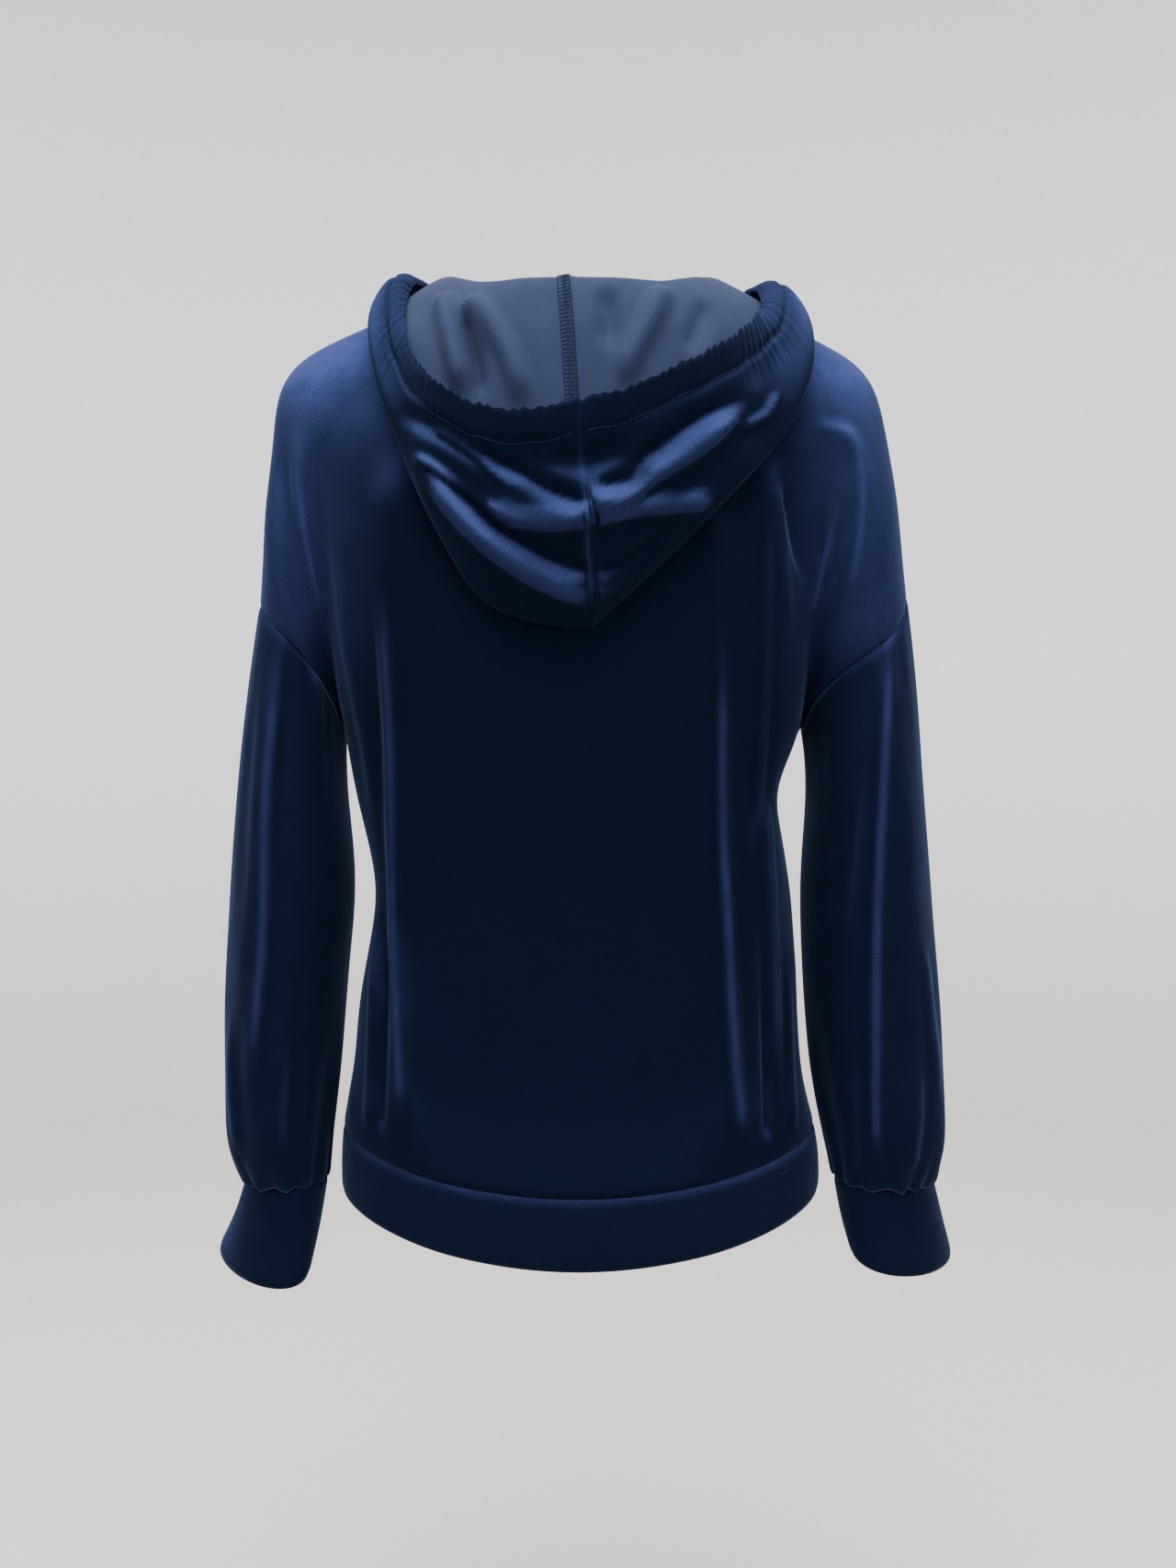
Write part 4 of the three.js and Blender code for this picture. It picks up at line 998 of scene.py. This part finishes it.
class HOODIE_OT_hood(bpy.types.Operator):
    """Hood of two panels, its bag swagged down the back and its face edge gathered"""

    bl_idname = "hoodie.hood"
    bl_label = "Hood"

    def execute(self, context):
        velvet = context.scene.hoodie_velvet
        for name, phase in (("left", 0.4), ("right", 1.9)):
            node = f"hood_{name}"
            piece = cloth_sheet(node, f"{node}_panel", BACKWARD, outermost_last=True)
            self.swag(piece)
            self.gather_casing(piece, phase)
            if name == "left":
                self.raise_allowance(piece)
            sink_seams(piece, keep=lambda point: (abs(point.x) < CENTRE_SEAM_X
                                                  or point.z > NECK_SEAM_Z))
            self.brush(piece)
            thicken(piece, velvet.wall, shared_material("pile", velvet_material),
                    shared_material("knit_side", knit_material))
            finish_piece(piece, node)
        return {"FINISHED"}

    def swag(self, piece):
        row = value_of(piece, "row")
        outside = ease((row - SWAG_START) / ROW_FADE) * facing_share(piece, BACKWARD, HOOD_FACING)
        fold(piece, fold_height(points_of(piece), HOOD_SWAGS) * outside)
        behind = ease((points_of(piece)[:, 1] - INNER_FOLD_Y) / INNER_FOLD_FADE)
        inside = ease((INNER_FOLD_END - row) / ROW_FADE) * behind
        push_out(piece, fold_height(points_of(piece), HOOD_INNER_FOLDS) * inside)

    def brush(self, piece):
        """Paints a highlight along the centre seam, and paints shade on the rolled rim"""
        # Painted highlight along the centre seam
        seam = edge_distance(piece, keep=lambda point: abs(point.x) < CENTRE_REACH)
        outside = ease(value_of(piece, "row") - CASING_START)
        line = np.exp(-(seam / SEAM_HIGHLIGHT_WIDTH) ** 2) * outside
        mark(piece, "crest_highlight", np.maximum(value_of(piece, "crest_highlight"), line))
        paint_light(piece)
        # Painted shade on the rolled rim: the painted light fades towards the face edge
        depth = value_of(piece, "below")
        share = RIM_LIGHT_SHARE + (1 - RIM_LIGHT_SHARE) * ease((depth - CASING_DEPTH) / RIM_FADE)
        mark(piece, "painted_light", value_of(piece, "painted_light") * share)

    def raise_allowance(self, piece):
        """The seam allowance lies turned to the left under its overlock"""
        seam = edge_distance(piece, keep=lambda point: (abs(point.x) < CENTRE_REACH
                                                        and point.y > ALLOWANCE_Y))
        inside = ease(ALLOWANCE_END - value_of(piece, "row"))
        push_out(piece, -OVERLOCK_LIFT * inside * ease((OVERLOCK_WIDTH - seam) / MM))

    def gather_casing(self, piece, phase):
        """Puckers across the stitch line of the casing, and a wavy face edge"""
        depth = value_of(piece, "below")
        along = value_of(piece, "along")
        wave = uneven_wave(2 * math.pi * along / CASING_PUCKER_STEP + phase)
        small_step = CASING_SMALL_STEP * CASING_PUCKER_STEP
        small = CASING_SMALL_SHARE * uneven_wave(2 * math.pi * along / small_step + 2 * phase)
        outside = ease((value_of(piece, "row") - CASING_START) / ROW_FADE)
        from_line = np.abs(depth - CASING_DEPTH)
        short, long = (along / length for length in CASING_PATCHES)
        patchy = CASING_PATCH_MEAN + CASING_PATCH_DEPTH * np.sin(short + phase) * np.sin(long + 1)
        pucker = np.exp(-(from_line / CASING_PUCKER_REACH) ** 2) * (wave + small) * patchy
        line = np.exp(-(from_line / CASING_DIP_WIDTH) ** 2)
        edge = np.exp(-(depth / RIM_WAVE_REACH) ** 2) * wave
        push_out(piece, outside * (CASING_PUCKER_HEIGHT * pucker - CASING_DIP * line))
        points = points_of(piece)
        points[:, 2] += outside * RIM_WAVE_HEIGHT * edge
        set_points(piece, points)


class HOODIE_OT_sewing(bpy.types.Operator):
    """Overlock on the hood's centre seam, the casing's stitches and a loose thread end"""

    bl_idname = "hoodie.sewing"
    bl_label = "Sewing"

    def execute(self, context):
        left, right = bpy.data.objects["hood_left_panel"], bpy.data.objects["hood_right_panel"]
        self.sew("hood_overlock", self.overlock(left))
        self.sew("casing_stitches", [*self.casing_stitches(left), *self.casing_stitches(right)])
        self.sew("loose_thread", [self.loose_thread(bpy.data.objects["hem_band_doubled"])])
        return {"FINISHED"}

    def sew(self, name, paths):
        threads = tube(name, paths, THREAD_RADIUS, THREAD_SIDES)
        threads.data.materials.append(shared_material("thread", thread_material))
        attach(threads, "root")

    def overlock(self, piece):
        """A zig-zag between the seam and the raw edge beside it, and a thread along each"""
        points, normals, below = fine_grid(piece, inside=True)
        fine = 2 ** bpy.context.scene.hoodie_velvet.fineness
        inner, outer = [], []
        for row in range(int(OVERLOCK_ROWS[0] * fine), int(OVERLOCK_ROWS[1] * fine)):
            raised = points[row] + normals[row] * THREAD_RADIUS
            wanted = [2 * THREAD_RADIUS, OVERLOCK_WIDTH]
            near, far = between(raised, distances(points[row]), wanted)
            inner.append(near)
            outer.append(far)
        inner, outer = resample(inner, OVERLOCK_STEP), np.array(outer)
        outer = between(outer, distances(outer), np.linspace(0, distances(outer)[-1], len(inner)))
        zigzag = [(inner, outer)[index % 2][index] for index in range(len(inner))]
        return [zigzag, inner, outer]

    def casing_stitches(self, piece):
        """Short stitches in the velvet along the lower edge of the casing"""
        points, normals, below = fine_grid(piece)
        line = []
        for column in range(points.shape[1]):
            down = points[::-1, column] + normals[::-1, column] * THREAD_RADIUS
            line.append(between(down, below[::-1, column], [CASING_DEPTH])[0])
        along = distances(np.array(line))
        starts = np.arange(STITCH_MARGIN, along[-1] - STITCH_MARGIN, STITCH_LENGTH + STITCH_GAP)
        return [between(np.array(line), along,
                        np.linspace(start, start + STITCH_LENGTH, STITCH_POINTS))
                for start in starts]

    def loose_thread(self, piece):
        points, normals = points_of(piece), normals_of(piece)
        behind = np.where(points[:, 1] > 0)[0]
        start = behind[np.hypot(points[behind, 0] - THREAD_END[0],
                                points[behind, 2] - THREAD_END[1]).argmin()]
        curl = resample(smooth_line(THREAD_CURL, THREAD_CURL_STEP), THREAD_CURL_STEP)
        return points[start] + normals[start] * 2 * THREAD_RADIUS + curl * (-MM, MM, MM)


class HOODIE_OT_studio(bpy.types.Operator):
    """Pale studio with soft light, and the camera behind the garment"""

    bl_idname = "hoodie.studio"
    bl_label = "Studio"

    def execute(self, context):
        studio = context.scene.hoodie_studio
        self.sweep(studio)
        self.soft_light("top_light", studio.top_power, *TOP_LAMP)
        self.soft_light("fill_light", studio.fill_power, *FILL_LAMP)
        world = context.scene.world or bpy.data.worlds.new("studio_world")
        context.scene.world = world
        world.use_nodes = True
        sky = world.node_tree.nodes["Background"]
        set_sockets(sky, {"Color": SKY_COLOR, "Strength": SKY_STRENGTH})
        self.camera(context)
        return {"FINISHED"}

    def sweep(self, studio):
        """Round floor that curves up into a backdrop on all sides"""
        deselect()
        radius = SWEEP_RADIUS - SWEEP_CORNER
        bpy.ops.mesh.primitive_circle_add(
            vertices=SWEEP_SIDES, radius=radius, fill_type="NGON", location=(0, 0, FLOOR_Z))
        floor = bpy.context.object
        floor.name = "studio_sweep"
        bpy.ops.object.mode_set(mode="EDIT")
        bpy.ops.mesh.select_all(action="SELECT")
        bpy.ops.mesh.inset(thickness=SWEEP_INSET)
        bpy.ops.mesh.select_all(action="DESELECT")
        bpy.ops.object.mode_set(mode="OBJECT")
        self.select_edge(floor)
        bpy.ops.object.mode_set(mode="EDIT")
        for step in range(1, SWEEP_STEPS + 1):
            before, angle = (math.pi / 2 * turn / SWEEP_STEPS for turn in (step - 1, step))
            wider = SWEEP_RADIUS - SWEEP_CORNER + SWEEP_CORNER * math.sin(angle)
            rise = SWEEP_CORNER * (math.cos(before) - math.cos(angle))
            bpy.ops.mesh.extrude_edges_move(TRANSFORM_OT_translate={"value": (0, 0, rise)})
            scale = wider / radius
            bpy.ops.transform.resize(value=(scale, scale, 1), center_override=(0, 0, 0))
            radius = wider
        bpy.ops.mesh.extrude_edges_move(TRANSFORM_OT_translate={"value": (0, 0, SWEEP_HEIGHT)})
        bpy.ops.mesh.select_all(action="SELECT")
        bpy.ops.mesh.normals_make_consistent(inside=True)
        bpy.ops.object.mode_set(mode="OBJECT")
        bpy.ops.object.transform_apply(location=True, rotation=True, scale=True)
        bpy.ops.object.shade_smooth()
        paint = paint_material("studio_paint", tuple(studio.floor), tuple(studio.wall))
        floor.data.materials.append(paint)

    def select_edge(self, floor):
        """Selects the open edge of a mesh"""
        mesh = floor.data
        count = {}
        for polygon in mesh.polygons:
            for key in polygon.edge_keys:
                count[key] = count.get(key, 0) + 1
        for edge in mesh.edges:
            edge.select = count[edge.key] == 1
            for index in edge.vertices:
                if edge.select:
                    mesh.vertices[index].select = True

    def soft_light(self, name, power, location, target, size):
        light = bpy.data.lights.new(name, "AREA")
        light.shape = "DISK"
        light.size = size
        light.energy = power
        lamp = bpy.data.objects.new(name, light)
        bpy.context.scene.collection.objects.link(lamp)
        lamp.location = location
        aim = Vector(target) - Vector(location)
        lamp.rotation_euler = aim.to_track_quat("-Z", "Y").to_euler()

    def camera(self, context):
        data = bpy.data.cameras.new("camera")
        data.lens = CAMERA_LENS
        data.sensor_width = CAMERA_SENSOR
        camera = bpy.data.objects.new("camera", data)
        context.scene.collection.objects.link(camera)
        camera.location = CAMERA_PLACE
        camera.rotation_euler = (math.pi / 2, 0, math.pi)
        context.scene.camera = camera


class HOODIE_PT_panel(bpy.types.Panel):
    """Lists the pieces"""

    bl_label = "Velvet Hoodie"
    bl_idname = "HOODIE_PT_panel"
    bl_space_type = "VIEW_3D"
    bl_region_type = "UI"
    bl_category = "Hoodie"

    def draw(self, context):
        for settings in (context.scene.hoodie_velvet, context.scene.hoodie_studio):
            box = self.layout.box()
            for label in settings.__annotations__:
                box.prop(settings, label)
        for operator in OPERATORS:
            self.layout.operator(operator.bl_idname)


OPERATORS = (HOODIE_OT_body, HOODIE_OT_sleeves, HOODIE_OT_bands, HOODIE_OT_hood,
             HOODIE_OT_sewing, HOODIE_OT_studio)
CLASSES = (VelvetSettings, StudioSettings, *OPERATORS, HOODIE_PT_panel)


def register():
    for part in CLASSES:
        bpy.utils.register_class(part)
    bpy.types.Scene.hoodie_velvet = PointerProperty(type=VelvetSettings)
    bpy.types.Scene.hoodie_studio = PointerProperty(type=StudioSettings)


def unregister():
    del bpy.types.Scene.hoodie_studio
    del bpy.types.Scene.hoodie_velvet
    for part in reversed(CLASSES):
        bpy.utils.unregister_class(part)


def main():
    register()
    deselect()
    bpy.ops.hoodie.body()
    bpy.ops.hoodie.sleeves()
    bpy.ops.hoodie.bands()
    bpy.ops.hoodie.hood()
    bpy.ops.hoodie.sewing()
    bpy.ops.hoodie.studio()


if __name__ == "__main__":
    main()
